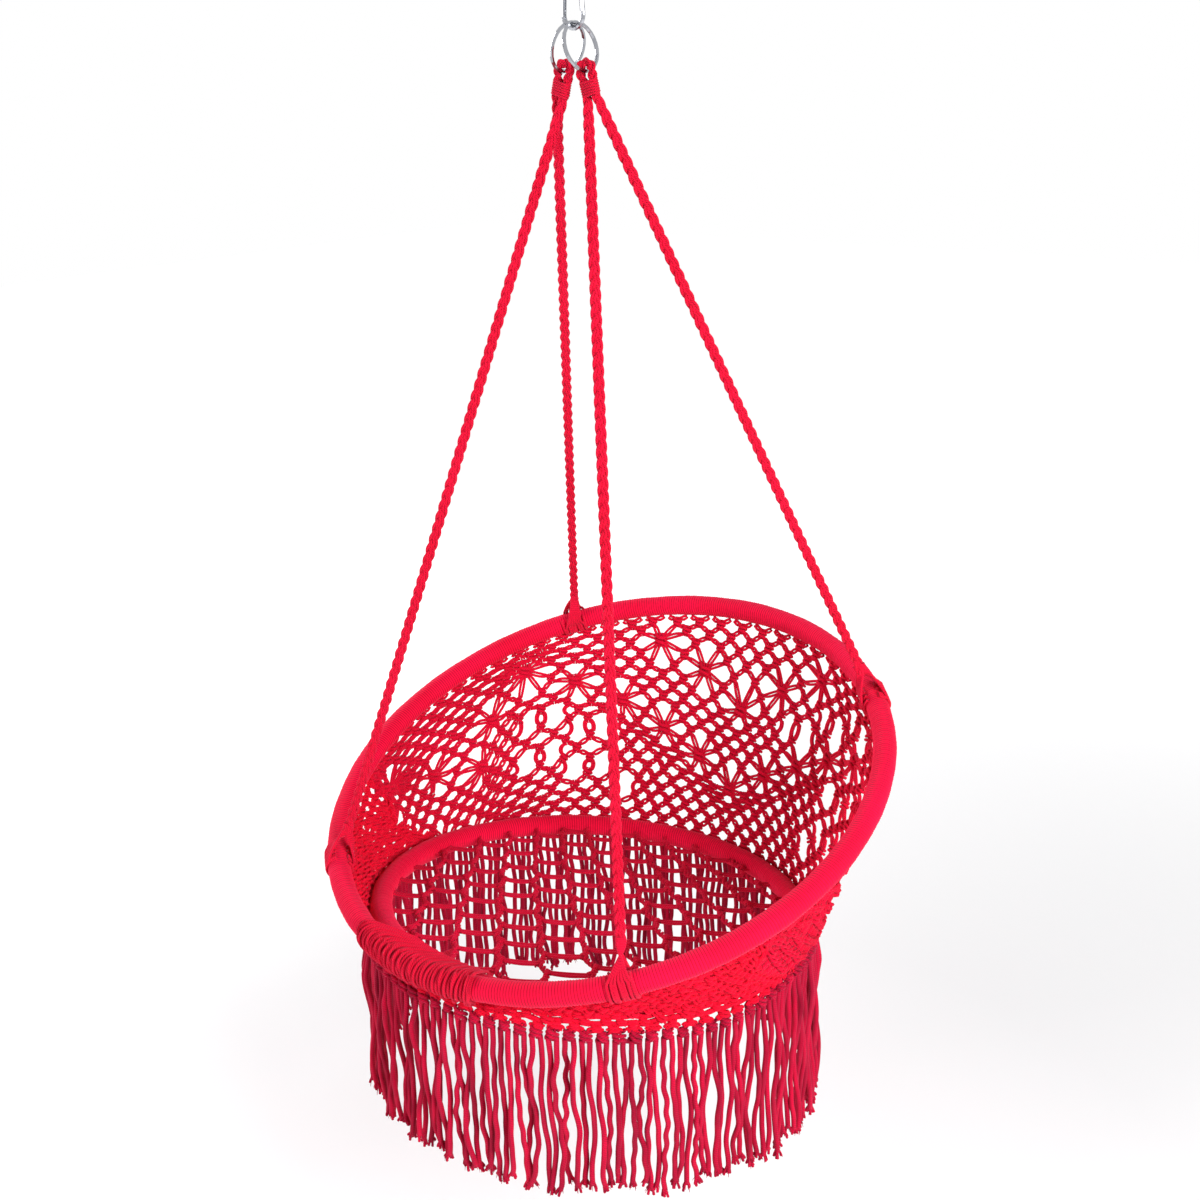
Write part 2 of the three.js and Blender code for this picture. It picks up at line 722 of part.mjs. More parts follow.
// Leaves room in a wall panel for the lashings that pass round the back hoop.
function clearOfLashings(panel) {
  const reach = hoopWrapped / 2 + lashingCord + lashingRoom;
  const halfSpan = ((lashingTurns / 2 + lashingRoomTurns) * lashingPitch) / radians(backRadius);
  let solid = toSolid(panel);
  for (const angle of [frontRopeAngle, rearRopeAngle, -rearRopeAngle, -frontRopeAngle]) {
    const room = hoopExtrude(circleShape(reach, 12), backHoop, angle - halfSpan, angle + halfSpan, 1);
    solid = solid.subtract(toSolid(room));
  }
  return toGeometry(solid);
}

const wallPanels = [
  ['wall_back', -20, 20, 4, 5],
  ['wall_back_left', 20, 60, 4, 5],
  ['wall_back_right', -60, -20, 4, 5],
  ['wall_side_left', 60, 100, 4, 3],
  ['wall_side_right', -100, -60, 4, 3],
  ['wall_front_left', 100, 160, 6, 2],
  ['wall_front_right', -160, -100, 6, 2],
];
for (const [name, from, to, columns, rows] of wallPanels) {
  // The star knots stand in two chevrons that rise from the middle of the back, and the gaps there are wider.
  const opening = (column, row) => {
    const angle = Math.abs(from + ((to - from) * column) / columns);
    const share = row / rows - starRise * angle;
    const nearLowerStars = Math.abs(share - lowerStarShare) < lowerStarBand;
    const nearUpperStars = Math.abs(share - upperStarShare) < upperStarBand;
    const half = nearLowerStars || nearUpperStars ? gapAtStars : gapElsewhere;
    return [half, half];
  };
  const edges = [from + panelSeam, to - panelSeam];
  const panel = openworkPanel(wallSurface, ...edges, columns, rows, wallThickness, opening);
  addPart(chair, name, clearOfLashings(panel), cottonMaterial());
}

// The skirt: a knotted band outside and below the front of the seat hoop, and the fringe all round

const turnFromBack = (angle) => Math.abs(THREE.MathUtils.euclideanModulo(angle + 180, 360) - 180);
const bandDepth = (angle) => frontBandDepth
  * THREE.MathUtils.smoothstep(turnFromBack(angle), bandFadeFrom, bandFadeTo);
const skirtPoint = (angle, z) => skirtLine(angle).setZ(z);
const skirtOut = (angle) => vec(Math.sin(radians(angle)), Math.cos(radians(angle)), 0);

function bandSurface(angle, share) {
  const depth = Math.max(bandDepth(angle) - bandToHeader, 1);
  return { point: skirtPoint(angle, skirtTop - depth * (1 - share)), inward: skirtOut(angle).negate() };
}

for (const [name, from, to] of [['front_band_left', bandEnd, 180], ['front_band_right', 180, 360 - bandEnd]]) {
  const opening = () => [bandGapHeight, bandGapWidth];
  const edges = [from + panelSeam, to - panelSeam];
  const band = openworkPanel(bandSurface, ...edges, bandColumns, 1, skirtThickness, opening);
  const cut = toSolid(band).subtract(toSolid(frontLashingRoom(bandRoom)));
  addPart(chair, name, toGeometry(cut), cottonMaterial());
}

// Which way is down, in the pitched chair's own axes.
const down = vec(0, Math.sin(radians(-chairPitch)), -Math.cos(radians(chairPitch)));

// A repeatable number from 0 to 1 for each strand, so that the strands differ.
const vary = (index, salt) => {
  const value = Math.sin(index * 12.9898 + salt * 78.233) * 43758.5453;
  return value - Math.floor(value);
};

const headerFoot = (angle) => skirtTop - bandDepth(angle) - headerDepth;

function fringeStrand(angle, index) {
  const top = skirtPoint(angle, headerFoot(angle) + strandRoot);
  const round = vec(Math.cos(radians(angle)), -Math.sin(radians(angle)), 0);
  const length = (fringeDrop + headerFoot(angle)) * (0.96 + 0.06 * vary(index, 1)) + strandRoot;
  const shifts = [0, strandSway * (vary(index, 2) - 0.5), 2 * strandSway * (vary(index, 3) - 0.5)];
  const rings = [0, 0.5, 1].map((share, i) => {
    const centre = top.clone().addScaledVector(down, length * share).addScaledVector(round, shifts[i]);
    return [90, 210, 330].map((turn) => centre.clone()
      .addScaledVector(round, -strandRadius * Math.cos(radians(turn)))
      .addScaledVector(skirtOut(angle), strandRadius * Math.sin(radians(turn))));
  });
  return toSolid(loft(rings));
}

// The strip of knots that a stretch of fringe hangs from.
function fringeHeader(from, to) {
  const steps = Math.round((to - from) / (360 / hoopSteps));
  const rings = Array.from({ length: steps + 1 }, (_, i) => {
    const angle = from + ((to - from) * i) / steps;
    const corners = [[-0.5, headerDepth], [-0.5, 0], [0.5, 0], [0.5, headerDepth]];
    return corners.map(([across, rise]) => skirtPoint(angle, headerFoot(angle) + rise)
      .addScaledVector(skirtOut(angle), across * skirtThickness));
  });
  return toSolid(loft(rings));
}

function fringeStretch(from, to) {
  let solid = fringeHeader(from + panelSeam, to - panelSeam);
  const count = Math.round((to - from) / strandSpacing);
  for (let i = 0; i < count; i += 1) {
    const angle = from + (i + 0.5) * strandSpacing;
    solid = solid.add(fringeStrand(angle, Math.round(angle * 7)));
  }
  return toGeometry(solid);
}

// Twelve stretches, from the middle of the back round by the left.
const fringeWords = [
  'back', 'back_left', 'left_back', 'left', 'left_front', 'front_left',
  'front', 'front_right', 'right_front', 'right', 'right_back', 'back_right',
];
fringeWords.forEach((word, i) => {
  const middle = i * fringeSpan;
  const stretch = fringeStretch(middle - fringeSpan / 2, middle + fringeSpan / 2);
  addPart(chair, `fringe_${word}`, stretch, cottonMaterial());
});

export default assembly;
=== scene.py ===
"""A macrame hammock chair in red cotton cord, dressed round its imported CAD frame.

Metres, +Z up, and the sitter faces -Y. Angles round the hoops are counted from the back, +Y, towards +X,
so 180 degrees is the front. What belongs to the chair is worked out in the seat hoop's own frame and then
placed.
"""
import math

import bpy
import numpy as np
from mathutils import Matrix, Vector


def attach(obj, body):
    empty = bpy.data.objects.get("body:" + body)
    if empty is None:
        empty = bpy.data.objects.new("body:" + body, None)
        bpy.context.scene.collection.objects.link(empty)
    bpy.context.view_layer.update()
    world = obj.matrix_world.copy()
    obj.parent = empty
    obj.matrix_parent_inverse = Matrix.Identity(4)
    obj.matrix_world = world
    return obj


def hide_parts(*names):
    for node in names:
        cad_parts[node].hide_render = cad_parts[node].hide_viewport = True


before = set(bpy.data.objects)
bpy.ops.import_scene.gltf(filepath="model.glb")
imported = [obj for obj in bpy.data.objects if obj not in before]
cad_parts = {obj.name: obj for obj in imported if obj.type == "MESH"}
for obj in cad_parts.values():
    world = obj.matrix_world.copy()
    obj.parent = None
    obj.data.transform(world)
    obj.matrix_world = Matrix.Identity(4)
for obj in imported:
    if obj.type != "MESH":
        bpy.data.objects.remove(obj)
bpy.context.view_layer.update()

# The hoops and where the chair hangs, as in the CAD source
SEAT_RADIUS = 0.300
BACK_RADIUS = 0.395
BACK_RISE = 0.194
BACK_SETBACK = 0.014
BACK_TILT = math.radians(27)
CHAIR_PITCH = math.radians(-7)
CHAIR_AT = np.array([0.0, -0.0206, -1.25475])
HOOP_OUTER = 0.016

# The hook's lower bend, the rings and the rope eyes, as in the CAD source
BEND_CENTRE = np.array([0.0, 0.0, -0.05475])
RING_TOP_REACH = 0.0089
RING_RADIUS = 0.029
RING_SEAT = math.radians(18.5)
RING_LEAN = math.radians(15)
EYE_LEAN = math.radians(15)
EYE_RADIUS = 0.0097
EYE_LENGTH = 0.030
EYE_BULGE = 0.0004
ROPE_WIDTH = 0.014
ROPE_WIDTH_AT_EYE = 0.012
ROPE_TAPER_LENGTH = 0.040
LEG_SPREAD = 0.0064
FRONT_ROPE_ANGLE = 139
REAR_ROPE_ANGLE = 45

# The skirt, the front binding and the net, as in the CAD source
SKIRT_RADIUS = 0.3205
SKIRT_TOP = -0.002
BAND_DEPTH = 0.026
BAND_FADE_FROM = 76
BAND_FADE_TO = 112
HEADER_DEPTH = 0.012
FRINGE_DROP = 0.265
BINDING_FROM = -193
BINDING_TO = -164
NET_COLUMN = 0.0525
NET_RUN = 0.052
NET_TURN = math.radians(37)

# Radii of the cords, and lengths along them
WALL_CORD = 0.0022
COVER_CORD = 0.0021
FRINGE_CORD = 0.0036
BRAID_CORD = 0.0023
BINDING_CORD = 0.0021
NET_CORD = 0.0023
WINDING_PITCH = 0.0039
PLY_PITCH = 0.0095

UP = np.array([0.0, 0.0, 1.0])

rng = np.random.default_rng(11)


def stacked(*parts):
    """Coordinates as the last axis of one array."""
    return np.stack(np.broadcast_arrays(*parts), -1).astype(float)


def unit(v):
    return v / np.maximum(np.linalg.norm(v, axis=-1, keepdims=True), 1e-12)


def dot(a, b):
    return (a * b).sum(-1, keepdims=True)


def floats(*values):
    return np.broadcast_arrays(*(np.asarray(v, float) for v in values))


def distances(lines):
    """How far each point lies along its line."""
    steps = np.linalg.norm(np.diff(lines, axis=-2), axis=-1)
    return np.concatenate([np.zeros((*steps.shape[:-1], 1)), np.cumsum(steps, -1)], -1)


# Where things are


def circle(radius, a):
    return stacked(radius * np.sin(a), radius * np.cos(a), 0.0)


def way_round(a):
    return stacked(np.cos(a), -np.sin(a), 0.0)


def seat_hoop(a):
    return circle(SEAT_RADIUS, a)


def back_hoop(a):
    reach = BACK_RADIUS * np.cos(a)
    return stacked(
        BACK_RADIUS * np.sin(a),
        BACK_SETBACK + reach * math.cos(BACK_TILT),
        BACK_RISE + reach * math.sin(BACK_TILT),
    )


def placed(points):
    """Points of the chair's own frame in the part's frame."""
    x, y, z = np.moveaxis(np.asarray(points, float), -1, 0)
    c, s = math.cos(CHAIR_PITCH), math.sin(CHAIR_PITCH)
    return stacked(x, y * c - z * s, y * s + z * c) + CHAIR_AT


def skirt_line(a):
    return circle(SKIRT_RADIUS, a)


def wall_height(a):
    return np.linalg.norm(back_hoop(a) - skirt_line(a), axis=-1)


def wall_frame(a, h):
    """A point of the wall, h up its slope from beside the seat hoop, with its ways round, up and in."""
    a, h = floats(a, h)
    low, around = skirt_line(a), way_round(a)
    up = unit(back_hoop(a) - low)
    return low + up * h[..., None], around, up, unit(np.cross(around, up))


def skirt_frame(a, h):
    """A point of the skirt, h above the seat hoop's plane, with its ways round, up and in."""
    a, h = floats(a, h)
    out = circle(1.0, a)
    return SKIRT_RADIUS * out + stacked(0.0, 0.0, h), way_round(a), np.broadcast_to(UP, out.shape), -out


def cover_frame(a, h):
    """The wall above the seat hoop's plane and the skirt below it."""
    a, h = floats(a, h)
    above, below = wall_frame(a, np.maximum(h, 0)), skirt_frame(a, np.minimum(h, 0))
    return tuple(np.where((h >= 0)[..., None], p, q) for p, q in zip(above, below))


def degrees_from_back(a):
    return np.abs((np.degrees(a) + 180) % 360 - 180)


def band_depth(a):
    """How far the knotted band hangs below the seat hoop; it is only in front."""
    share = np.clip((degrees_from_back(a) - BAND_FADE_FROM) / (BAND_FADE_TO - BAND_FADE_FROM), 0, 1)
    return BAND_DEPTH * share * share * (3 - 2 * share)


def band_foot(a):
    """The height at which the knotted band, or the wall where there is no band, ends over the fringe."""
    return SKIRT_TOP - band_depth(a)


HOOP_TUCK = 0.97


def under_back_hoop(a):
    return wall_height(a) - HOOP_OUTER * HOOP_TUCK


COVER_EDGE_DEGREES = [84, 92, 100, 104.5, 106]
COVER_EDGE_HEIGHTS = [-0.002, 0.020, 0.045, 0.066, 0.4]


def cover_edge(a):
    """Where the open pattern of the wall passes into the close knots below it."""
    height = np.interp(degrees_from_back(a), COVER_EDGE_DEGREES, COVER_EDGE_HEIGHTS)
    return np.minimum(height, under_back_hoop(a))


# Cord geometry


def through(points, count):
    """Smooth lines through rows of points, with count samples on each."""
    points = np.asarray(points, float)
    last = points.shape[-2] - 1
    t = np.linspace(0, last, count)
    i = np.minimum(t.astype(int), last - 1)
    f = (t - i)[:, None]
    p0, p1 = points[..., np.maximum(i - 1, 0), :], points[..., i, :]
    p2, p3 = points[..., i + 1, :], points[..., np.minimum(i + 2, last), :]
    return 0.5 * (
        2 * p1
        + (p2 - p0) * f
        + (2 * p0 - 5 * p1 + 4 * p2 - p3) * f**2
        + (3 * p1 - p0 - 3 * p2 + p3) * f**3
    )


def bezier(p0, p1, p2, p3, count):
    """Rows of cubic curves from p0 to p3, with count samples on each."""
    t = np.linspace(0, 1, count)[:, None]
    p0, p1, p2, p3 = (np.asarray(p, float)[..., None, :] for p in (p0, p1, p2, p3))
    return p0 * (1 - t) ** 3 + 3 * p1 * t * (1 - t) ** 2 + 3 * p2 * t**2 * (1 - t) + p3 * t**3


def carried(lines, start=None):
    """The ways along, across and up at each point of rows of lines, without needless turning."""
    along = unit(np.gradient(lines, axis=1))
    if start is None:
        upright = np.abs(along[:, 0, 2:3]) < 0.9
        start = np.cross(np.where(upright, UP, [1.0, 0.0, 0.0]), along[:, 0])
    across = np.empty_like(lines)
    now = np.broadcast_to(np.asarray(start, float), lines[:, 0].shape)
    for i in range(lines.shape[1]):
        now = unit(now - dot(now, along[:, i]) * along[:, i])
        across[:, i] = now
    return along, across, np.cross(along, across)


# How many turns the plies of each next cord are ahead, so that no two cords look alike

CORD_SHIFT = 0.37


class Skein:
    """Cords gathered into one mesh. Its UV counts the turns of a cord's plies and goes once round it."""

    def __init__(self):
        self.points, self.corners, self.sizes, self.uvs = [], [], [], []
        self.count = 0

    def faces(self, corners, sides, uv):
        self.corners.append(corners.reshape(-1))
        self.sizes.append(np.full(corners.size // sides, sides))
        self.uvs.append(uv.reshape(-1, 2))

    def store(self, points, quads, u0, u1, sides):
        """Points, and four-cornered faces between them that run from u0 to u1 and so many sides round."""
        v = np.arange(sides) / sides
        u0, u1, v0, v1 = np.broadcast_arrays(u0, u1, v, v + 1 / sides)
        self.points.append(points.reshape(-1, 3))
        self.count += len(self.points[-1])
        self.faces(quads, 4, np.stack([u0, v0, u0, v1, u1, v1, u1, v0], -1))

    def add(self, lines, radius, sides=6):
        """A round cord with closed ends along a line, or along each of several."""
        lines = np.asarray(lines, float)
        lines = lines.reshape(-1, *lines.shape[-2:])
        m, n, _ = lines.shape
        radius = np.broadcast_to(radius, (m, n))
        _, across, up = carried(lines)
        turn = 2 * np.pi * np.arange(sides) / sides
        ring = across[:, :, None] * np.cos(turn)[:, None] + up[:, :, None] * np.sin(turn)[:, None]
        points = lines[:, :, None] + radius[:, :, None, None] * ring
        index = self.count + np.arange(m * n * sides).reshape(m, n, sides)
        beside = np.roll(index, -1, axis=2)
        quads = np.stack([index[:, :-1], beside[:, :-1], beside[:, 1:], index[:, 1:]], -1)
        u = distances(lines) / PLY_PITCH + CORD_SHIFT * np.arange(m)[:, None]
        self.store(points, quads, u[:, :-1, None], u[:, 1:, None], sides)
        caps = np.concatenate([index[:, 0, ::-1], index[:, -1]])
        self.faces(caps, sides, np.zeros((caps.size, 2)))
        return self

    def skin(self, rings, turns):
        """A closed skin over rings of points. Its UV counts the turns along it and goes once round a ring."""
        n, sides, _ = rings.shape
        index = self.count + np.arange(n * sides).reshape(n, sides)
        after = np.roll(index, -1, axis=0)
        quads = np.stack([index, np.roll(index, -1, 1), np.roll(after, -1, 1), after], -1)
        u = turns * np.arange(n)[:, None] / n
        self.store(rings, quads, u, u + turns / n, sides)
        return self

    def mesh(self, name):
        corners, sizes = np.concatenate(self.corners), np.concatenate(self.sizes)
        made = bpy.data.meshes.new(name)
        made.vertices.add(self.count)
        made.vertices.foreach_set("co", np.concatenate(self.points).astype(np.float32).ravel())
        made.loops.add(len(corners))
        made.loops.foreach_set("vertex_index", corners.astype(np.int32))
        made.polygons.add(len(sizes))
        starts = np.concatenate([[0], np.cumsum(sizes)[:-1]])
        made.polygons.foreach_set("loop_start", starts.astype(np.int32))
        made.polygons.foreach_set("use_smooth", np.ones(len(sizes), bool))
        made.update(calc_edges=True)
        layer = made.uv_layers.new(name="cord")
        layer.data.foreach_set("uv", np.concatenate(self.uvs).astype(np.float32).ravel())
        return made


def shown(name, data):
    made = bpy.data.objects.new(name, data)
    bpy.context.scene.collection.objects.link(made)
    return made


def piece(name, skein, material, node):
    """A finished piece that rides on the chair and stands for a CAD node."""
    mesh = skein.mesh(name)
    mesh.materials.append(material)
    made = shown(name, mesh)
    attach(made, "chair")
    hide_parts(node)
    return made


# Materials


class Shading:
    """The node tree of a material or of the world, with short ways to add to it."""

    def __init__(self, owner):
        owner.use_nodes = True
        self.owner, self.nodes, self.links = owner, owner.node_tree.nodes, owner.node_tree.links

    def feed(self, socket, value):
        """Links a socket to an output, or sets it to a number, a vector or a colour."""
        if isinstance(value, bpy.types.NodeSocket):
            self.links.new(value, socket)
        elif socket.type == "RGBA":
            socket.default_value = (*value, 1)
        else:
            socket.default_value = value

    def add(self, kind, **inputs):
        """A new node. In the names of its inputs _ stands for a space."""
        node = self.nodes.new("ShaderNode" + kind)
        for name, value in inputs.items():
            self.feed(node.inputs[name.replace("_", " ")], value)
        return node

    def place(self):
        return self.add("TexCoord").outputs["Object"]

    def math(self, operation, first, second=0.0):
        node = self.add("Math")
        node.operation = operation
        self.feed(node.inputs[0], first)
        self.feed(node.inputs[1], second)
        return node.outputs[0]

    def noise(self, vector, scale, detail, roughness=0.5):
        node = self.add("TexNoise", Vector=vector, Scale=scale, Detail=detail, Roughness=roughness)
        return node.outputs["Fac"]

    def ramp(self, factor, stops):
        node = self.add("ValToRGB", Fac=factor)
        for element, (at, colour) in zip(node.color_ramp.elements, stops):
            element.position = at
            element.color = (*colour, 1)
        return node.outputs["Color"]

    def multiplied(self, factor, first, second):
        node = self.add("Mix")
        node.data_type = "RGBA"
        node.blend_type = "MULTIPLY"
        for number, value in ((0, factor), (6, first), (7, second)):
            self.feed(node.inputs[number], value)
        return node.outputs[2]

    def bump(self, height, strength, distance):
        return self.add("Bump", Height=height, Strength=strength, Distance=distance)

    def seen(self):
        """1 for the camera's rays and for the ones that metal or glass sends on, otherwise 0."""
        rays = self.add("LightPath").outputs
        seen = self.math("MAXIMUM", rays["Is Camera Ray"], rays["Is Glossy Ray"])
        return self.math("MAXIMUM", seen, rays["Is Transmission Ray"])

    def finish(self, inputs):
        for name, value in inputs.items():
            self.feed(self.nodes["Principled BSDF"].inputs[name], value)
        return self.owner


WHITE = (1.0, 1.0, 1.0)
# Painted shade: the colour is darkened in the grooves between a cord's plies and, much more, between a
# winding's turns
CORD_GROOVE_SHADE = (0.42, 0.36, 0.40)
WINDING_GROOVE_SHADE = (0.24, 0.08, 0.12)
FIBRE_SHADE = (0.80, 0.78, 0.80)
FIBRE_LIGHT = (1.12, 1.2, 1.16)
FIBRES_PER_METRE = 900.0
FIBRE_DEPTH = 0.00025
CLOUDS_PER_METRE = 60.0
DRAW_MARKS_PER_METRE = 700.0
DRAW_MARK_DEPTH = 0.0001
EVEN_DYE = (9.0, 9.0, 9.0)
# Across the fringe the tone differs strongly from strand to strand: partly uneven dye, partly painted shade
# on the darker strands
STRAND_DYE_AND_SHADE = (70.0, 70.0, 5.0)


def cotton(name, colour, shade, plies=3, ply_depth=0.0004, fuzz=0.9, groove_shade=CORD_GROOVE_SHADE, dye_and_shade_scale=EVEN_DYE):
    """Twisted cotton cord: plies that wind round it with painted shade in the grooves between, loose fibres,
    and uneven dye, which on the fringe is partly painted shade.
    """
    tree = Shading(bpy.data.materials.new(name))
    cord_map = tree.add("UVMap")
    cord_map.uv_map = "cord"
    uv = tree.add("SeparateXYZ", Vector=cord_map.outputs["UV"]).outputs
    round_it = tree.math("MULTIPLY", uv["Y"], float(plies))
    spiral = tree.math("ADD", round_it, tree.math("MULTIPLY", uv["X"], float(plies)))
    centred = tree.math("SUBTRACT", tree.math("FRACT", spiral), 0.5)
    squared = tree.math("MULTIPLY", centred, centred)
    ply = tree.math("SUBTRACT", 1.0, tree.math("MULTIPLY", squared, 4.0))
    place = tree.place()
    fibre = tree.noise(place, FIBRES_PER_METRE, 3.0, 0.7)
    # Uneven dye; on the fringe its dark end is partly painted shade
    dye_and_shade = tree.noise(tree.add("Mapping", Vector=place, Scale=dye_and_shade_scale).outputs["Vector"], 1.0, 3.0)
    base = tree.ramp(dye_and_shade, [(0.3, shade), (0.7, colour)])
    # The colour is darkened in the grooves between plies: painted shade
    groove_shaded = tree.multiplied(1.0, base, tree.ramp(ply, [(0.0, groove_shade), (0.55, WHITE)]))
    flecks = tree.ramp(fibre, [(0.35, FIBRE_SHADE), (0.75, FIBRE_LIGHT)])
    ply_bump = tree.bump(ply, strength=0.8, distance=ply_depth)
    fibre_bump = tree.bump(fibre, strength=0.5, distance=FIBRE_DEPTH)
    tree.feed(ply_bump.inputs["Normal"], fibre_bump.outputs["Normal"])
    return tree.finish({
        "Base Color": tree.multiplied(0.8, groove_shaded, flecks),
        "Normal": ply_bump.outputs["Normal"],
        "Roughness": 0.88,
        "Specular IOR Level": 0.12,
        "Sheen Weight": 0.35 * fuzz,
        "Sheen Roughness": 0.45,
        "Sheen Tint": (1.0, 0.22, 0.36),
    })


def metal(name, colour, roughness):
    """Plated steel with fine draw marks and slightly uneven gloss."""
    tree = Shading(bpy.data.materials.new(name))
    place = tree.place()
    cloud = tree.noise(place, CLOUDS_PER_METRE, 3.0)
    marks = tree.noise(place, DRAW_MARKS_PER_METRE, 4.0)
    gloss = tree.add("MapRange", Value=cloud, To_Min=0.75 * roughness, To_Max=1.25 * roughness)
    dull = tuple(0.86 * c for c in colour)
    return tree.finish({
        "Base Color": tree.ramp(cloud, [(0.3, dull), (0.7, colour)]),
        "Normal": tree.bump(marks, strength=0.12, distance=DRAW_MARK_DEPTH).outputs["Normal"],
        "Roughness": gloss.outputs[0],
        "Metallic": 1.0,
    })


wall_cotton = cotton("macrame_cotton", (0.84, 0.003, 0.040), (0.72, 0.002, 0.028), fuzz=0.5)
cover_cotton = cotton("cover_cotton", (0.96, 0.003, 0.036), (0.88, 0.002, 0.028), ply_depth=0.0007, fuzz=0.3)
winding_cotton = cotton(
    "winding_cotton", (0.95, 0.004, 0.056), (0.86, 0.003, 0.040), plies=1, ply_depth=0.0006,
    groove_shade=WINDING_GROOVE_SHADE,
)
rope_cotton = cotton("rope_cotton", (0.86, 0.006, 0.046), (0.74, 0.003, 0.030), ply_depth=0.0006)
net_cotton = cotton("net_cotton", (0.76, 0.004, 0.044), (0.64, 0.003, 0.030), fuzz=0.5)
# The fringe's darker strands are partly painted shade, not only dye
fringe_cotton = cotton(
    "fringe_cotton", (0.74, 0.004, 0.048), (0.34, 0.002, 0.026), ply_depth=0.0007, fuzz=0.6, dye_and_shade_scale=STRAND_DYE_AND_SHADE,
)
plated_steel = metal("plated_steel", (0.40, 0.41, 0.44), 0.13)
spring_steel = metal("spring_steel", (0.55, 0.56, 0.58), 0.3)
tube_steel = metal("tube_steel", (0.32, 0.32, 0.33), 0.4)


# The camera stands where the photograph was taken from

CAMERA_AT = (1.3181, -1.5172, -0.1102)
CAMERA_AZIMUTH = math.radians(40.652)
CAMERA_ELEVATION = math.radians(18.918)
CAMERA_ROLL = math.radians(-1.672)
CAMERA_LENS = 47.015


def make_camera():
    level = stacked(math.sin(CAMERA_AZIMUTH), -math.cos(CAMERA_AZIMUTH), 0.0) * math.cos(CAMERA_ELEVATION)
    back = level + stacked(0.0, 0.0, math.sin(CAMERA_ELEVATION))
    right = stacked(math.cos(CAMERA_AZIMUTH), math.sin(CAMERA_AZIMUTH), 0.0)
    up = np.cross(back, right)
    c, s = math.cos(CAMERA_ROLL), math.sin(CAMERA_ROLL)
    matrix = np.eye(4)
    matrix[:3] = np.stack([right * c + up * s, up * c - right * s, back, CAMERA_AT], -1)
    data = bpy.data.cameras.new("camera")
    data.sensor_width = 36
    data.lens = CAMERA_LENS
    camera = shown("camera", data)
    camera.matrix_world = Matrix(matrix)
    bpy.context.scene.camera = camera


make_camera()


# Hoops: a cord wound closely over each


def hoop_frame(hoop, a):
    """Points of a hoop at angles a, with its ways along, out and up."""
    step = 1e-4
    along = unit(hoop(a + step) - hoop(a - step))
    centre = hoop(np.array([0.0, math.pi])).mean(0)
    out = unit(hoop(a) - centre)
    return hoop(a), along, out, np.cross(along, out)


WINDING_SIDES = 16
WINDING_SAMPLES = 6
WINDING_SINK = 0.0004
RIDGE_HEIGHT = 0.0011


def winding(hoop):
    """The skin of a closely wound cord: a tube with one low, slightly slanting ridge for each turn."""
    turns = round(math.pi * np.linalg.norm(hoop(0.0) - hoop(math.pi)) / WINDING_PITCH)
    a = 2 * np.pi * np.arange(turns * WINDING_SAMPLES) / (turns * WINDING_SAMPLES)
    centre, _, out, up = hoop_frame(hoop, a)
    turn = -2 * np.pi * np.arange(WINDING_SIDES) / WINDING_SIDES
    slow = 0.0003 * np.sin(7 * a + 1) + 0.0002 * np.sin(23 * a + 2) + 0.00012 * np.sin(61 * a)
    phase = turns * a[:, None] - turn[None]
    ridge = RIDGE_HEIGHT * (np.abs(np.sin(phase / 2)) ** 0.7 - 0.75)
    uneven = 0.00012 * np.sin(phase * 0.37 + 3 * np.sin(11 * a[:, None]))
    radius = HOOP_OUTER - WINDING_SINK + ridge + uneven + slow[:, None]
    ring = out[:, None] * np.cos(turn)[:, None] + up[:, None] * np.sin(turn)[:, None]
    return Skein().skin(placed(centre[:, None] + radius[..., None] * ring), turns)


for place, hoop in (("seat", seat_hoop), ("back", back_hoop)):
    piece(f"{place}_hoop_winding", winding(hoop), winding_cotton, f"{place}_hoop_wrap")


# Square knots, from two side cords that pass over and under two middle ones

LEFT_CORD = [
    (-3.0, 4.4, 0.0), (-3.5, 3.2, 0.1), (-2.6, 2.0, 1.3), (0.0, 1.5, 2.3),
    (2.6, 1.5, 1.3), (3.4, 0.5, 0.0), (2.2, -0.5, -1.6), (0.0, -0.9, -2.2),
    (-2.3, -1.2, -1.5), (-3.4, -2.6, 0.0), (-3.0, -4.4, 0.0),
]
RIGHT_CORD = [
    (3.0, 4.4, 0.0), (3.5, 3.3, -0.1), (2.3, 2.3, -1.5), (0.0, 1.9, -2.2),
    (-2.2, 1.3, -1.5), (-3.4, 0.2, 0.0), (-2.6, -0.8, 1.4), (0.0, -1.2, 2.3),
    (2.6, -1.8, 1.3), (3.5, -3.0, 0.1), (3.0, -4.4, 0.0),
]
MIDDLE_CORDS = [[(side * 1.0, y, 0.0) for y in (4.4, 0.0, -4.4)] for side in (-1, 1)]
KNOT_NARROWING = 0.8
KNOT_DEEPENING = 1.05


def add_knots(skein, origin, right, up, inward, cord, tall, uneven):
    """A square knot at each origin, with its ways right, up and inward, and stretched along by tall."""
    lean = rng.normal(0, uneven, (len(origin), 1))
    size = cord * (1 + rng.normal(0, uneven, (len(origin), 1, 1)))
    right, up = right * np.cos(lean) + up * np.sin(lean), up * np.cos(lean) - right * np.sin(lean)
    side_cords = [(cord_line, 13, 6) for cord_line in (LEFT_CORD, RIGHT_CORD)]
    for shape, count, sides in side_cords + [(cord_line, 3, 4) for cord_line in MIDDLE_CORDS]:
        local = through(np.array(shape), count) * np.array([KNOT_NARROWING, tall, KNOT_DEEPENING])
        lines = origin[:, None] + size * (
            right[:, None] * local[:, 0:1] + up[:, None] * local[:, 1:2] + inward[:, None] * local[:, 2:3]
        )
        skein.add(placed(lines), cord, sides)


# Nets of such knots. How long the knots and stars are and how far the cords bow is counted in cord radii.

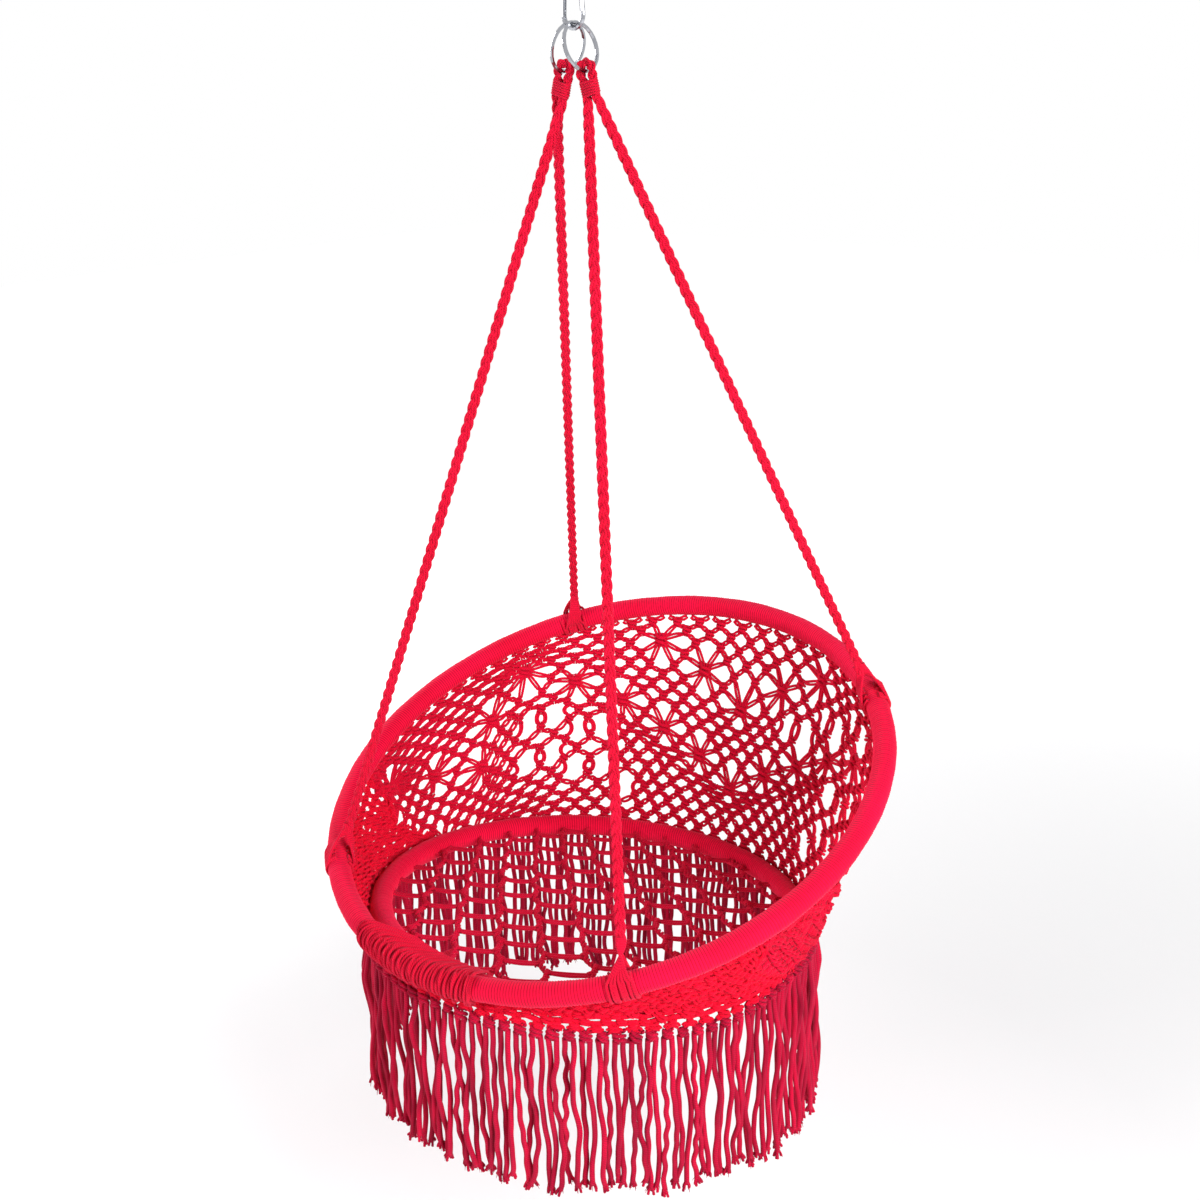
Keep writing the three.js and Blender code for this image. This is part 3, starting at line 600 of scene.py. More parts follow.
SETTLING_STEPS = 400
KNOT_HALF = 2.6
STAR_HALF = 2.0
PAIR_BOW = 2.7
PASSING_BOW = 3.0
PASSING_GAP = 1.3
STAR_CORD = 1.3
HANDLE = 0.36
DOWNWARD = 0.5


class Net:
    """An alternating net of square knots on a curved surface.

    A site (column, row) holds a knot where column + row is even. Two cords leave each knot to the left and
    two to the right, towards the next row. A skipped site has no knot, and there the cords turn back to their
    own side. A star stands in the middle of four missing knots and takes in all the cords round it.
    """

    wander = 0.0006
    columns_held = False

    def __init__(self, surface, width, columns, column_step, top, bottom, last_row, stars=(), skipped=()):
        self.surface, self.width, self.columns, self.column_step = surface, width, columns, column_step
        self.top, self.bottom, self.last_row = top, bottom, last_row
        self.stars = dict(stars)
        beside = ((0, 1), (0, -1), (1, 0), (-1, 0))
        self.around = {(i + di, j + dj): (i, j) for i, j in self.stars for di, dj in beside}
        missing = {*self.around, *skipped}
        self.sites = dict.fromkeys(
            (i, j)
            for i in range(columns[0], columns[1] + 1)
            for j in range(1, last_row(i) + 1)
            if (i + j) % 2 == 0 and (i, j) not in missing
        )
        self.link()
        self.settle()

    def follow(self, i, j, side):
        """Where the pair of cords that leaves (i, j) to one side ends, and how many sites it passes."""
        passed = 0
        i, j = i + side, j + 1
        while True:
            if (i, j) in self.around:
                return "star", self.around[i, j], passed
            if (i, j) in self.sites:
                return "knot", (i, j), passed
            if j > self.last_row(i):
                return "foot", (i, j), passed
            passed += 1
            side = -side
            i, j = i + side, j + 1

    def link(self):
        """Links as (start, end, side, passed). Ends that aren't knots or stars are points on an edge."""
        starts = [("top", (i, 0)) for i in range(self.columns[0], self.columns[1] + 1) if i % 2 == 0]
        starts += [("knot", site) for site in self.sites]
        self.links = []
        for start in starts:
            for side in (-1, 1):
                kind, site, passed = self.follow(*start[1], side)
                self.links.append((start, (kind, site), side, passed))
        for i, j in self.stars:
            for di, dj in ((-2, 1), (-1, 2), (1, 2), (2, 1)):
                end = (i + di, j + dj)
                kind = "knot" if end in self.sites else "foot"
                self.links.append((("star", (i, j)), (kind, end), int(np.sign(di)), 0))

    def start_height(self, i, j):
        top, bottom = self.top(i * self.column_step), self.bottom(i * self.column_step)
        return float(top + (bottom - top) * (j / (self.last_row(i) + 1)))

    def node(self, end):
        """The number of a knot or star, or of a point on an edge, which may be new."""
        if end not in self.numbers:
            kind, (i, _) = end
            a = i * self.column_step
            self.numbers[end] = len(self.a)
            self.a.append(a)
            self.h.append(float(self.top(a) if kind == "top" else self.bottom(a)))
        return self.numbers[end]

    def settle(self):
        """Finds where the knots lie when every pair of cords pulls, a slack pair less than a tight one."""
        ends = [("knot", site) for site in self.sites] + [("star", site) for site in self.stars]
        self.numbers = {end: number for number, end in enumerate(ends)}
        self.a = [i * self.column_step for i, _ in self.sites] + [a for a, _ in self.stars.values()]
        self.h = [self.start_height(*site) for site in self.sites] + [h for _, h in self.stars.values()]
        self.first = first = np.array([self.node(start) for start, *_ in self.links])
        self.last = last = np.array([self.node(end) for _, end, *_ in self.links])
        pull = 1 / np.array([self.slack(link) for link in self.links])
        a, h = np.array(self.a), np.array(self.h)
        fixed = np.arange(len(a)) >= len(self.sites)
        held = fixed.copy()
        held[:len(self.sites)] = [self.columns_held or abs(i) >= self.columns[1] - 1 for i, j in self.sites]
        total = sum(np.bincount(place, pull, len(a)) for place in (first, last))
        for _ in range(SETTLING_STEPS):
            sum_a, sum_h = np.zeros_like(a), np.zeros_like(a)
            for place, other in ((first, last), (last, first)):
                np.add.at(sum_a, place, pull * a[other])
                np.add.at(sum_h, place, pull * h[other])
            a = np.where(held, a, sum_a / total)
            h = np.where(fixed, h, sum_h / total)
        loose = np.where(fixed, 0, self.wander)
        self.a = a + loose * rng.normal(0, 1, len(a)) / self.width(a, h)
        self.h = h + loose * rng.normal(0, 1, len(a))

    def slack(self, link):
        """How far a pair of cords reaches between knots, against the others."""
        return 1.0 + link[3]

    def spread(self, link):
        """How far apart the two cords of a pair bow, in cord radii."""
        return PAIR_BOW

    def ways(self):
        """Each node's point, and its ways to the right, up the cords and inward."""
        point, around, up, inward = self.surface(self.a, self.h)
        drop = np.zeros((len(self.a), 2))
        width = self.width(self.a, self.h)
        x = (self.a[self.last] - self.a[self.first]) * width[self.first]
        y = self.h[self.last] - self.h[self.first]
        way = unit(np.stack([x, y], -1))
        np.add.at(drop, self.first, way)
        np.add.at(drop, self.last, way)
        fall = np.sign(self.bottom(0.0) - self.top(0.0))
        drop = unit(drop + np.array([0.0, DOWNWARD * float(fall)]))
        lift = around * -drop[:, 0:1] + up * -drop[:, 1:2]
        right = around * -drop[:, 1:2] + up * drop[:, 0:1]
        return point, right, lift, inward

    def cords(self, cord):
        """Each single cord, two to a link: its mean angle and height, its start, two handles and its end."""
        point, right, lift, inward = self.ways()
        rows = []
        for link, p, q in zip(self.links, self.first, self.last):
            (start_kind, _), (end_kind, _), side, passed = link
            gap = np.linalg.norm(point[q] - point[p])
            towards = (point[q] - point[p]) / gap
            beside = unit(np.cross(towards, inward[p]))
            beside = beside if beside @ right[p] * side > 0 else -beside
            for k in (0, 1):
                enter = ((1 + 2 * k) * side if passed % 2 else (2 * k - 3) * side) * cord
                apart = (k - 0.5) * self.spread(link) * cord * beside
                if passed:
                    apart = (PASSING_BOW + PASSING_GAP * k) * cord * beside
                if start_kind == "knot":
                    a0 = point[p] + right[p] * side * (1 + 2 * k) * cord - lift[p] * KNOT_HALF * cord
                else:
                    a0 = point[p] + towards * STAR_HALF * cord + apart * 0.5
                if end_kind == "knot":
                    b0 = point[q] + right[q] * enter + lift[q] * KNOT_HALF * cord
                else:
                    b0 = point[q] - towards * STAR_HALF * cord + apart * 0.5
                a1 = point[p] + towards * gap * HANDLE + apart
                b1 = point[q] - towards * gap * HANDLE + apart
                rows.append(((self.a[p] + self.a[q]) / 2, (self.h[p] + self.h[q]) / 2, a0, a1, b1, b0))
        return rows

    def build(self, panels, cord, material, tall, knot_cord=1.0, uneven=0.05):
        """A piece for each (piece, node, from, to, floor, ceiling) of panels, with angles in degrees."""
        point, right, lift, inward = self.ways()
        middle, height, *ends = (np.array(column) for column in zip(*self.cords(cord)))
        knots = np.arange(len(self.sites))
        stars = len(knots) + np.arange(len(self.stars))
        for name, node, start, end, floor, ceiling in panels:
            skein = Skein()
            low, high = math.radians(start), math.radians(end)
            mine = (middle >= low) & (middle < high) & (height >= floor) & (height < ceiling)
            skein.add(placed(bezier(*(e[mine] for e in ends), 6)), cord)
            for chosen, size in ((knots, cord * knot_cord), (stars, cord * STAR_CORD)):
                turned, raised = self.a[chosen], self.h[chosen]
                here = chosen[(turned >= low) & (turned < high) & (raised >= floor) & (raised < ceiling)]
                if len(here):
                    add_knots(skein, point[here], right[here], lift[here], inward[here], size, tall, uneven)
            piece(name, skein, material, node)


# The wall between the hoops. Its stars stand in two chevrons at the back and in a chain down each side.

COLUMN_STEP = math.radians(2.8125)
WALL_OVERLAP = 0.014
STARS = [
    ((0, 7), 0.0, 0.220), ((4, 5), 11.4, 0.270), ((8, 3), 23.5, 0.307),
    ((0, 15), 0.0, 0.091), ((4, 13), 10.3, 0.132), ((8, 11), 21.0, 0.166), ((12, 9), 32.5, 0.203),
    ((16, 7), 45.0, 0.229), ((20, 5), 57.9, 0.245), ((24, 7), 67.5, 0.168), ((26, 11), 71.4, 0.096),
    ((30, 9), 86.9, 0.096), ((36, 5), 102.5, 0.100),
]


LAST_ROW_COLUMNS = [0, 20, 24, 26, 30, 36, 38]
LAST_ROWS = [21, 21, 19, 17, 15, 11, 8]
CHEVRON_COLUMNS = 23
CHEVRON_ROW = 18
STAR_COLUMNS = 4
STAR_ROWS = 2

# How slack the cords are, and how far the pairs below the chevrons bow

SLACK = {"star": 2.1, "passed": 2.3, "top": 0.7, "ring": 0.8, "lower": 1.5}
LOWER_BOW = 3.2


def both_sides(stars):
    for (i, j), degrees, height in stars:
        yield (i, j), (math.radians(degrees), height)
        if i:
            yield (-i, j), (-math.radians(degrees), height)


def wall_last_row(i):
    return int(round(np.interp(abs(i), LAST_ROW_COLUMNS, LAST_ROWS)))


def rows_below_chevron(i, j):
    """How far a site lies below the rings round the lower chevron's stars. At the sides none lies below."""
    near = round(abs(i) / STAR_COLUMNS)
    lowest = CHEVRON_ROW - STAR_ROWS * near - abs(abs(i) - STAR_COLUMNS * near)
    return j - lowest if abs(i) <= CHEVRON_COLUMNS else -math.inf


def wall_width(a, h):
    return SKIRT_RADIUS + (BACK_RADIUS - SKIRT_RADIUS) * np.clip(h / wall_height(a), 0, 1)


class Wall(Net):
    def slack(self, link):
        (start_kind, (i, j)), (end_kind, _), _, passed = link
        if "star" in (start_kind, end_kind):
            return SLACK["star"]
        if passed:
            return SLACK["passed"]
        if start_kind == "top":
            return SLACK["top"]
        below = rows_below_chevron(i, j)
        if below >= 1:
            return SLACK["lower"]
        return SLACK["ring"] if below >= -1 else 1.0

    def spread(self, link):
        (_, (i, j)), *_ = link
        return LOWER_BOW if rows_below_chevron(i, j) >= 1 else PAIR_BOW


def climbing_row(first, i):
    """A row that climbs as the chevrons do, by two rows in every four columns."""
    return first - STAR_ROWS * ((i - 2) // STAR_COLUMNS)


# Where the cords run straight down without a knot they leave long slits: between the chevrons on the left,
# and below them on both sides

skipped_sites = {(i, climbing_row(10, i)) for i in range(6, 20, 2)}
for first_row, first_column in ((18, 14), (22, 12)):
    for i in range(first_column, 21, 2):
        skipped_sites |= {(side * i, climbing_row(first_row, i)) for side in (-1, 1)}


def wall_foot(a):
    return np.maximum(cover_edge(a) - WALL_OVERLAP, SKIRT_TOP)


WALL_STRETCHES = [
    ("back", -20, 20), ("back_left", 20, 60), ("back_right", -60, -20), ("side_left", 60, 110),
    ("side_right", -110, -60),
]
wall = Wall(
    wall_frame, wall_width, (-38, 38), COLUMN_STEP, under_back_hoop, wall_foot,
    wall_last_row, both_sides(STARS), skipped_sites,
)
wall.build(
    [(f"macrame_{word}", f"wall_{word}", start, end, -1, 1) for word, start, end in WALL_STRETCHES],
    WALL_CORD, wall_cotton, tall=0.9, knot_cord=1.02,
)


# Close knots cover the foot of the wall at the sides, all of it in front, and hang below the hoop as a band

COVER_STEP = math.radians(2.2)
COVER_ROW = 0.0100


def cover_last_row(i):
    a = i * COVER_STEP
    return max(int((cover_edge(a) - band_foot(a)) / COVER_ROW), 0)


class Cover(Net):
    wander = 0.0016
    columns_held = True


cover = Cover(
    cover_frame, lambda a, h: np.full_like(a, SKIRT_RADIUS), (26, 138), COVER_STEP,
    band_foot, cover_edge, cover_last_row,
)
cover.build(
    [
        (f"{word}_{side}", f"{node}_{side}", start, start + 180, floor, floor + 1)
        for word, node, floor in (("cover", "wall_front", 0), ("band", "front_band", -1))
        for side, start in (("left", 0), ("right", 180))
    ],
    COVER_CORD, cover_cotton, tall=0.8, uneven=0.15,
)


# The fringe: a row of knots, and under each knot the ends of its cords

DOWN = np.array([0.0, math.sin(-CHAIR_PITCH), -math.cos(CHAIR_PITCH)])
STRANDS = 192
HEADER_KNOTS = 96
STRETCH = 30
HEADER_CORD = 0.0024
STRAND_SAMPLES = 40
BUNCHING = 0.4
TIP_CURL = 0.010
TIP_SHARE = 0.15
DEPTH_SPREAD = 0.012
DEPTH_WAVE = 0.004
DEPTH_WAVES = 1.4
TUFT_FIBRES = 10
TUFT_START = 0.004
TUFT_WIDTH = 0.0017
TUFT_PLY = 0.0019
TUFT_FIBRE_ENDS = (0.0007, 0.0003)

# What differs from strand to strand or from fibre to fibre, as the least and how much more it may be

STRAND_LENGTHS = (0.94, 0.08)
BENDS, BEND_COUNTS = (0.0008, 0.0032), (0.8, 1.0)
RIPPLES, RIPPLE_COUNTS = (0.0003, 0.0014), (3, 4)
TUFT_REACHES, TUFT_LENGTHS = (0.0020, 0.0035), (0.006, 0.008)


def fringe_dice():
    """Each strand's own numbers, and the small bunches of strands that lean together."""
    edges = np.cumsum(rng.integers(1, 5, STRANDS))
    group = np.searchsorted(edges, np.arange(STRANDS), side="right")
    angles = np.radians((np.arange(STRANDS) + 0.5) * 360 / STRANDS - STRETCH / 2)
    middles = np.array([angles[group == g].mean() for g in range(group.max() + 1)])
    return angles, middles[group], rng.random((STRANDS, 12)), rng.random((STRANDS, TUFT_FIBRES, 3))


STRAND_ANGLES, BUNCH_ANGLES, STRAND_DICE, TUFT_DICE = fringe_dice()


def drawn(span, dice):
    least, more = span
    return least + more * dice


def wave(share, size, count, start):
    return size * np.sin(2 * np.pi * (share * count + start))


def strand_line(k):
    """A hanging strand, with long bends, short ripples and a lean to its bunch."""
    a, dice = STRAND_ANGLES[k], STRAND_DICE[k]
    foot = band_foot(a) - HEADER_DEPTH * 0.8
    top, around, _, into = (v[0] for v in skirt_frame(np.array([a]), foot))
    length = (FRINGE_DROP + foot) * drawn(STRAND_LENGTHS, dice[0])
    share = np.linspace(0, 1, STRAND_SAMPLES)
    ease = np.clip(share * 5, 0, 1)
    bunch = (BUNCH_ANGLES[k] - a) * SKIRT_RADIUS * BUNCHING * dice[1] * np.sin(np.pi * 0.5 * share)
    bend = wave(share, drawn(BENDS, dice[2]), drawn(BEND_COUNTS, dice[3]), dice[4])
    ripple = wave(share, drawn(RIPPLES, dice[5] ** 2), drawn(RIPPLE_COUNTS, dice[6]), dice[7])
    curl = TIP_CURL * (dice[10] - 0.5) * np.clip((share - 1 + TIP_SHARE) / TIP_SHARE, 0, 1) ** 2
    sideways = bunch + (bend + ripple) * ease + curl
    depth = (DEPTH_SPREAD * (dice[8] - 0.5) + wave(share, DEPTH_WAVE, DEPTH_WAVES, dice[9])) * ease
    line = top + DOWN * (share * length)[:, None] + around * sideways[:, None] + into * depth[:, None]
    return line, around, into


def tuft(k, line, around, into):
    """The plies that part at a strand's end, and the loose fibres among them."""
    tip, way = line[-1], unit(line[-1] - line[-3])
    plies, fibres = [], []
    for n in range(TUFT_FIBRES):
        spin = 2 * np.pi * (n / TUFT_FIBRES + 0.5 * TUFT_DICE[k, n, 0])
        spread = around * math.cos(spin) + into * math.sin(spin)
        far = drawn(TUFT_REACHES, TUFT_DICE[k, n, 1])
        long = drawn(TUFT_LENGTHS, TUFT_DICE[k, n, 2])
        start = tip - way * TUFT_START + spread * TUFT_WIDTH
        middle = start + way * long * 0.6 + spread * far * 0.7
        (plies if n % 2 else fibres).append([start, middle, middle + way * long * 0.3 + spread * far * 0.2])
    return plies, fibres


def fringe(name, node, start, end):
    skein = Skein()
    degrees = np.arange(HEADER_KNOTS) * 360 / HEADER_KNOTS - STRETCH / 2 + 180 / HEADER_KNOTS
    mine = np.radians(degrees[(degrees >= start) & (degrees < end)])
    origin, right, up, inward = skirt_frame(mine, band_foot(mine) - HEADER_DEPTH * 0.45)
    add_knots(skein, origin, right, up, inward, HEADER_CORD, 0.8, 0.1)
    strands, plies, fibres = [], [], []
    for k in range(STRANDS):
        if start <= math.degrees(STRAND_ANGLES[k]) < end:
            line, around, into = strand_line(k)
            strands.append(line)
            for kept, made in zip((plies, fibres), tuft(k, line, around, into)):
                kept += made
    skein.add(placed(np.array(strands)), FRINGE_CORD, 8)
    skein.add(placed(through(np.array(plies), 6)), TUFT_PLY, 5)
    skein.add(placed(through(np.array(fibres), 5)), np.linspace(*TUFT_FIBRE_ENDS, 5), 4)
    piece(name, skein, fringe_cotton, node)


FRINGE_WORDS = [
    "back", "back_left", "left_back", "left", "left_front", "front_left",
    "front", "front_right", "right_front", "right", "right_back", "back_right",
]
for number, word in enumerate(FRINGE_WORDS):
    middle = number * STRETCH
    fringe(f"fringe_{word}_strands", f"fringe_{word}", middle - STRETCH / 2, middle + STRETCH / 2)


# The netted seat, in its own turned frame: zigzag columns of two twisted cords, joined by level pairs


NET_FAN = 0.85
NET_LEAN = 0.19
NET_BOW = 0.12
NET_BEND = 0.0035
NET_SHIFT = 0.010
NET_UNEVEN = np.array([0.005, 0.006])
NET_LINES = range(-8, 8)
NET_ROWS = range(-13, 14)
NET_DICE = rng.random((24, 60, 2))
NET_RIM = SEAT_RADIUS - HOOP_OUTER + 0.004
KNOT_TO_RIM = 0.006
NET_KNOT_CORD = 0.0014
LEVEL_CORD = NET_CORD * 0.9
LEVEL_BOW = 0.0012
SHORTEST_PAIR = 0.003
TWIST_PITCH = 0.017
PAIR_SAG = 0.0015


def net_to_chair(points):
    """The net is pulled askew: its columns lean over, more so towards the front, and fan out there."""
    x, y, z = np.moveaxis(np.asarray(points, float), -1, 0)
    x = x * (1 - NET_FAN * y) - NET_LEAN * y + NET_BOW * y * y
    c, s = math.cos(NET_TURN), math.sin(NET_TURN)
    return stacked(x * c - y * s, x * s + y * c, z)


def net_junction(line, row):
    """The knot on the zigzag between columns line and line + 1, at half rows."""
    bends_left = (row + line) % 2 == 0
    x = (line + 0.5) * NET_COLUMN + (-NET_BEND if bends_left else NET_BEND)
    y = row * NET_RUN / 2 + NET_SHIFT
    lines, rows, _ = NET_DICE.shape
    jitter = NET_UNEVEN * (NET_DICE[line + lines // 2, row + rows // 2] - 0.5)
    return np.array([x + jitter[0], y + jitter[1], 0.0])


def net_junctions():
    """Every junction with its line and row, also those that fall outside the hoop."""
    for line in NET_LINES:
        for row in NET_ROWS:
            yield line, row, net_junction(line, row)


def reach(point):
    return np.linalg.norm(net_to_chair(point)[:2])


def clipped(start, end):
    """The part of a line of the net that lies inside the hoop, or None."""
    inside = [reach(p) < NET_RIM for p in (start, end)]
    if not any(inside):
        return None
    if all(inside):
        return start, end
    near, far = (start, end) if inside[0] else (end, start)
    low, step = 0.0, 0.5
    for _ in range(24):
        if reach(near + (far - near) * (low + step)) < NET_RIM:
            low += step
        step /= 2
    edge = near + (far - near) * low
    return (near, edge) if inside[0] else (edge, near)


def cord_pair(start, end, cord, twisted):
    """Two cords from start to end, twisted together, or level and bowed apart."""
    t = np.linspace(0, 1, 15)[:, None]
    way = unit(end - start)
    side = np.array([-way[1], way[0], 0.0])
    sag = -UP * PAIR_SAG * np.sin(np.pi * t)
    turns = round(np.linalg.norm(end - start) / TWIST_PITCH * 2) / 2
    for k in (-1, 1):
        across = k * side * (cord * 1.05 + LEVEL_BOW * np.sin(np.pi * t))
        if twisted:
            spin = 2 * np.pi * t * turns + (0.0 if k == 1 else np.pi)
            across = cord * (side * np.cos(spin) + UP * np.sin(spin))
        yield start + (end - start) * t + across + sag


def add_pair(skein, start, end, cord, twisted):
    cut = clipped(start, end)
    if cut and np.linalg.norm(cut[1] - cut[0]) > SHORTEST_PAIR:
        for path in cord_pair(*cut, cord, twisted):
            skein.add(placed(net_to_chair(path)), cord)


def netted_seat():
    skein = Skein()
    knots = []
    for line, row, here in net_junctions():
        add_pair(skein, here, net_junction(line, row + 1), NET_CORD, True)
        if (row + line) % 2 == 1:
            add_pair(skein, here, net_junction(line + 1, row), LEVEL_CORD, False)
        if reach(here) < NET_RIM - KNOT_TO_RIM:
            knots.append(here)
    origin = net_to_chair(np.array(knots))
    right, up, inward = (np.tile(way, (len(knots), 1)) for way in np.eye(3))
    add_knots(skein, origin, net_to_chair(right), net_to_chair(up), inward, NET_KNOT_CORD, 1.0, 0.15)
    return skein


piece("netted_seat", netted_seat(), net_cotton, "seat_net")


# The front binding: one cord wound round both hoops, with turns that wander a little, and ends from the net


def binding_ways(a):
    seat, back = seat_hoop(a), back_hoop(a)
    to_back = unit(back - seat)
    return seat, back, to_back, unit(np.cross(to_back, way_round(a)))


BINDING_TURNS = 35
TURN_SAMPLES = 26
BINDING_LEAN = 0.010
BINDING_SLACK = 0.0008

# Where the net's cords fan out into the binding, in degrees round the hoop and in metres inside it

FAN_FROM, FAN_TO = 160, 203
FAN_NEAREST, FAN_FARTHEST = 0.020, 0.062
FAN_ENDS = (167.5, 195.5)
FAN_CORDS = 4
FAN_STEP = 2.6
FAN_RISE = 0.012
PATH_SAMPLES = 26


def round_two(turn, apart, radius):
    """How far to go sideways on the way round two bars that stand so far apart, and this far from them."""
    return np.clip(np.cos(turn) * 3, -1, 1) * apart + radius * np.cos(turn)


def front_binding():
    skein = Skein()
    share = np.linspace(0, 1, BINDING_TURNS * TURN_SAMPLES + 1)
    turn = 2 * np.pi * share * BINDING_TURNS
    a = np.radians(BINDING_FROM + (BINDING_TO - BINDING_FROM) * share)
    count = share * BINDING_TURNS
    wander = 0.003 * np.sin(count * 1.9 + 0.7) + 0.002 * np.sin(count * 3.1)
    a = a + wander * np.sin(turn) + BINDING_LEAN * np.cos(turn)
    seat, back, to_back, up = binding_ways(a)
    radius = HOOP_OUTER + BINDING_CORD + BINDING_SLACK * (1 + np.sin(count * 2.3))
    shift = round_two(turn, np.linalg.norm(back - seat, axis=-1) / 2, radius)
    line = (seat + back) / 2 + to_back * shift[:, None] + up * (radius * np.sin(turn))[:, None]
    skein.add(placed(line), BINDING_CORD)
    return skein.add(placed(np.array(list(binding_ends()))), BINDING_CORD * 0.95)


def binding_ends():
    """Cords that leave the net's knots near the binding, fan out and pass over both hoops into it."""
    over = HOOP_OUTER + 2.6 * BINDING_CORD
    for _, _, junction in net_junctions():
        knot = net_to_chair(junction)
        angle = math.degrees(math.atan2(knot[0], knot[1])) % 360
        inside = SEAT_RADIUS - math.hypot(knot[0], knot[1])
        if not (FAN_FROM < angle < FAN_TO and FAN_NEAREST < inside < FAN_FARTHEST):
            continue
        for k in range(FAN_CORDS):
            a = math.radians(np.clip(angle + (k - FAN_CORDS / 2 + 0.5) * FAN_STEP, *FAN_ENDS))
            seat, back, to_back, up = (v.reshape(3) for v in binding_ways(np.array([a])))
            path = np.array([
                knot, knot * 0.5 + seat * 0.5 + up * FAN_RISE,
                seat + up * over, (seat + back) / 2 + up * over, back + up * over,
                back + to_back * over, back + to_back * over * 0.8 - up * over * 0.7,
            ])
            yield through(path, PATH_SAMPLES)


piece("front_binding", front_binding(), rope_cotton, "front_lashing")


# Ropes

# The pitch of a braid, and half the breadth and depth of the way that each of its pairs takes
ROPE_BRAID = (0.046, 0.0034, 0.0022)
EYE_BRAID = (0.034, 0.0029, 0.0019)
EYE_CORD = BRAID_CORD * 0.8
BRAID_ACROSS = np.array([0.76, 0.64, 0.0])
ROPE_STEP = 0.003
ROPE_SAG = 0.002
SPLAY = 0.030
TIE_WIDTH = 0.036
TIE_CORDS = 14
TIE_SAMPLES = 14
TIE_SLIDE = 0.004
TIE_SPREAD = 0.010
WHIPPING_CORD = 0.0015
WHIPPING_TURNS = 6
WHIPPING_SAMPLES = 24


def lean(side, angle):
    return np.array([side * math.sin(angle), 0.0, -math.cos(angle)])


def eye_point(side, along, across):
    bottom = BEND_CENTRE + lean(side, RING_SEAT) * RING_TOP_REACH + lean(side, RING_LEAN) * 2 * RING_RADIUS
    sideways = np.array([math.cos(EYE_LEAN), 0.0, side * math.sin(EYE_LEAN)])
    return bottom + lean(side, EYE_LEAN) * along + sideways * across


def braid(line, start, pitch, broad, deep, cord, phase=0.0):
    """Six cords in three pairs, braided along a line. start is the braid's broad way."""
    _, across, up = (v[0] for v in carried(line[None], start))
    turn = 2 * np.pi * distances(line) / pitch + phase
    cord = np.broadcast_to(cord, turn.shape)
    made = []
    for strand in range(3):
        t = turn + 2 * np.pi * strand / 3
        for k in (-1, 1):
            x = broad * np.sin(t) + k * cord * 0.85
            y = deep * np.sin(2 * t) + k * cord * 0.25 * np.cos(t)
            made.append(line + across * x[:, None] + up * y[:, None])
    return np.array(made)


def even(line, step):
    """The line again, with points about step apart."""
    lengths = distances(line)
    at = np.linspace(0, lengths[-1], max(int(lengths[-1] / step), 2) + 1)
    return np.stack([np.interp(at, lengths, line[:, k]) for k in range(3)], -1)


def rotated(v):
    return placed(v) - CHAIR_AT


def rope_eye(side, word):
    turn = np.linspace(0, np.pi, 9)
    bend = [eye_point(side, -EYE_RADIUS * math.sin(t), -EYE_RADIUS * math.cos(t)) for t in turn]
    legs = [eye_point(side, EYE_LENGTH, s * LEG_SPREAD) for s in (-1, 1)]
    bulges = [eye_point(side, EYE_LENGTH * 0.5, s * (LEG_SPREAD + EYE_BULGE)) for s in (-1, 1)]
    line = even(through(np.array([legs[0], bulges[0], *bend, bulges[1], legs[1]]), 60), 0.002)
    in_plane = (math.cos(EYE_LEAN), 0.0, side * math.sin(EYE_LEAN))
    cords = Skein().add(braid(line, in_plane, *EYE_BRAID, EYE_CORD), EYE_CORD)
    piece(f"braid_eye_{word}", cords, rope_cotton, f"rope_eye_{word}")


def whipping(side, word):
    """A cord wound round the two legs of an eye."""
    turn = np.linspace(0, 2 * np.pi * WHIPPING_TURNS, WHIPPING_TURNS * WHIPPING_SAMPLES + 1)
    grip = ROPE_WIDTH_AT_EYE / 2 - 0.0004
    start = EYE_LENGTH - WHIPPING_TURNS * 2 * WHIPPING_CORD - 0.001
    along = start + turn / (2 * np.pi) * 2.02 * WHIPPING_CORD
    shift = round_two(turn, LEG_SPREAD, grip)
    depth = stacked(0.0, grip * np.sin(turn), 0.0)
    line = [eye_point(side, u, s) + d for u, s, d in zip(along, shift, depth)]
    cord = Skein().add(line, WHIPPING_CORD)
    piece(f"whipping_{word}", cord, rope_cotton, f"eye_whipping_{word}")


def rope(side, word, place, hoop_angle, across):
    start = eye_point(side, EYE_LENGTH - 0.001, across * LEG_SPREAD)
    landing = placed(back_hoop(np.array(math.radians(hoop_angle))))
    direction = unit(landing - start)
    end = landing - direction * (SPLAY + HOOP_OUTER)
    line = even(np.array([start, end]), ROPE_STEP)
    line = line + np.sin(np.linspace(0, np.pi, len(line)))[:, None] * np.array([0.0, 0.0, -ROPE_SAG])
    broad_way = unit(BRAID_ACROSS - direction * (BRAID_ACROSS @ direction))
    from_eye = np.linalg.norm(line - start, axis=1)
    width = np.interp(from_eye, [0, ROPE_TAPER_LENGTH], [ROPE_WIDTH_AT_EYE / ROPE_WIDTH, 1.0])
    thick = BRAID_CORD * 0.92 * width
    pitch, broad, deep = ROPE_BRAID
    cords = braid(line, broad_way, pitch, broad * width, deep * width, thick, side + across)
    skein = Skein().add(cords, thick)
    made = piece(f"braid_{place}_{word}", skein, rope_cotton, f"rope_{place}_{word}")
    tie = rope_tie(f"{place}_{word}", end, direction, broad_way, hoop_angle)
    length = float(distances(line)[-1])


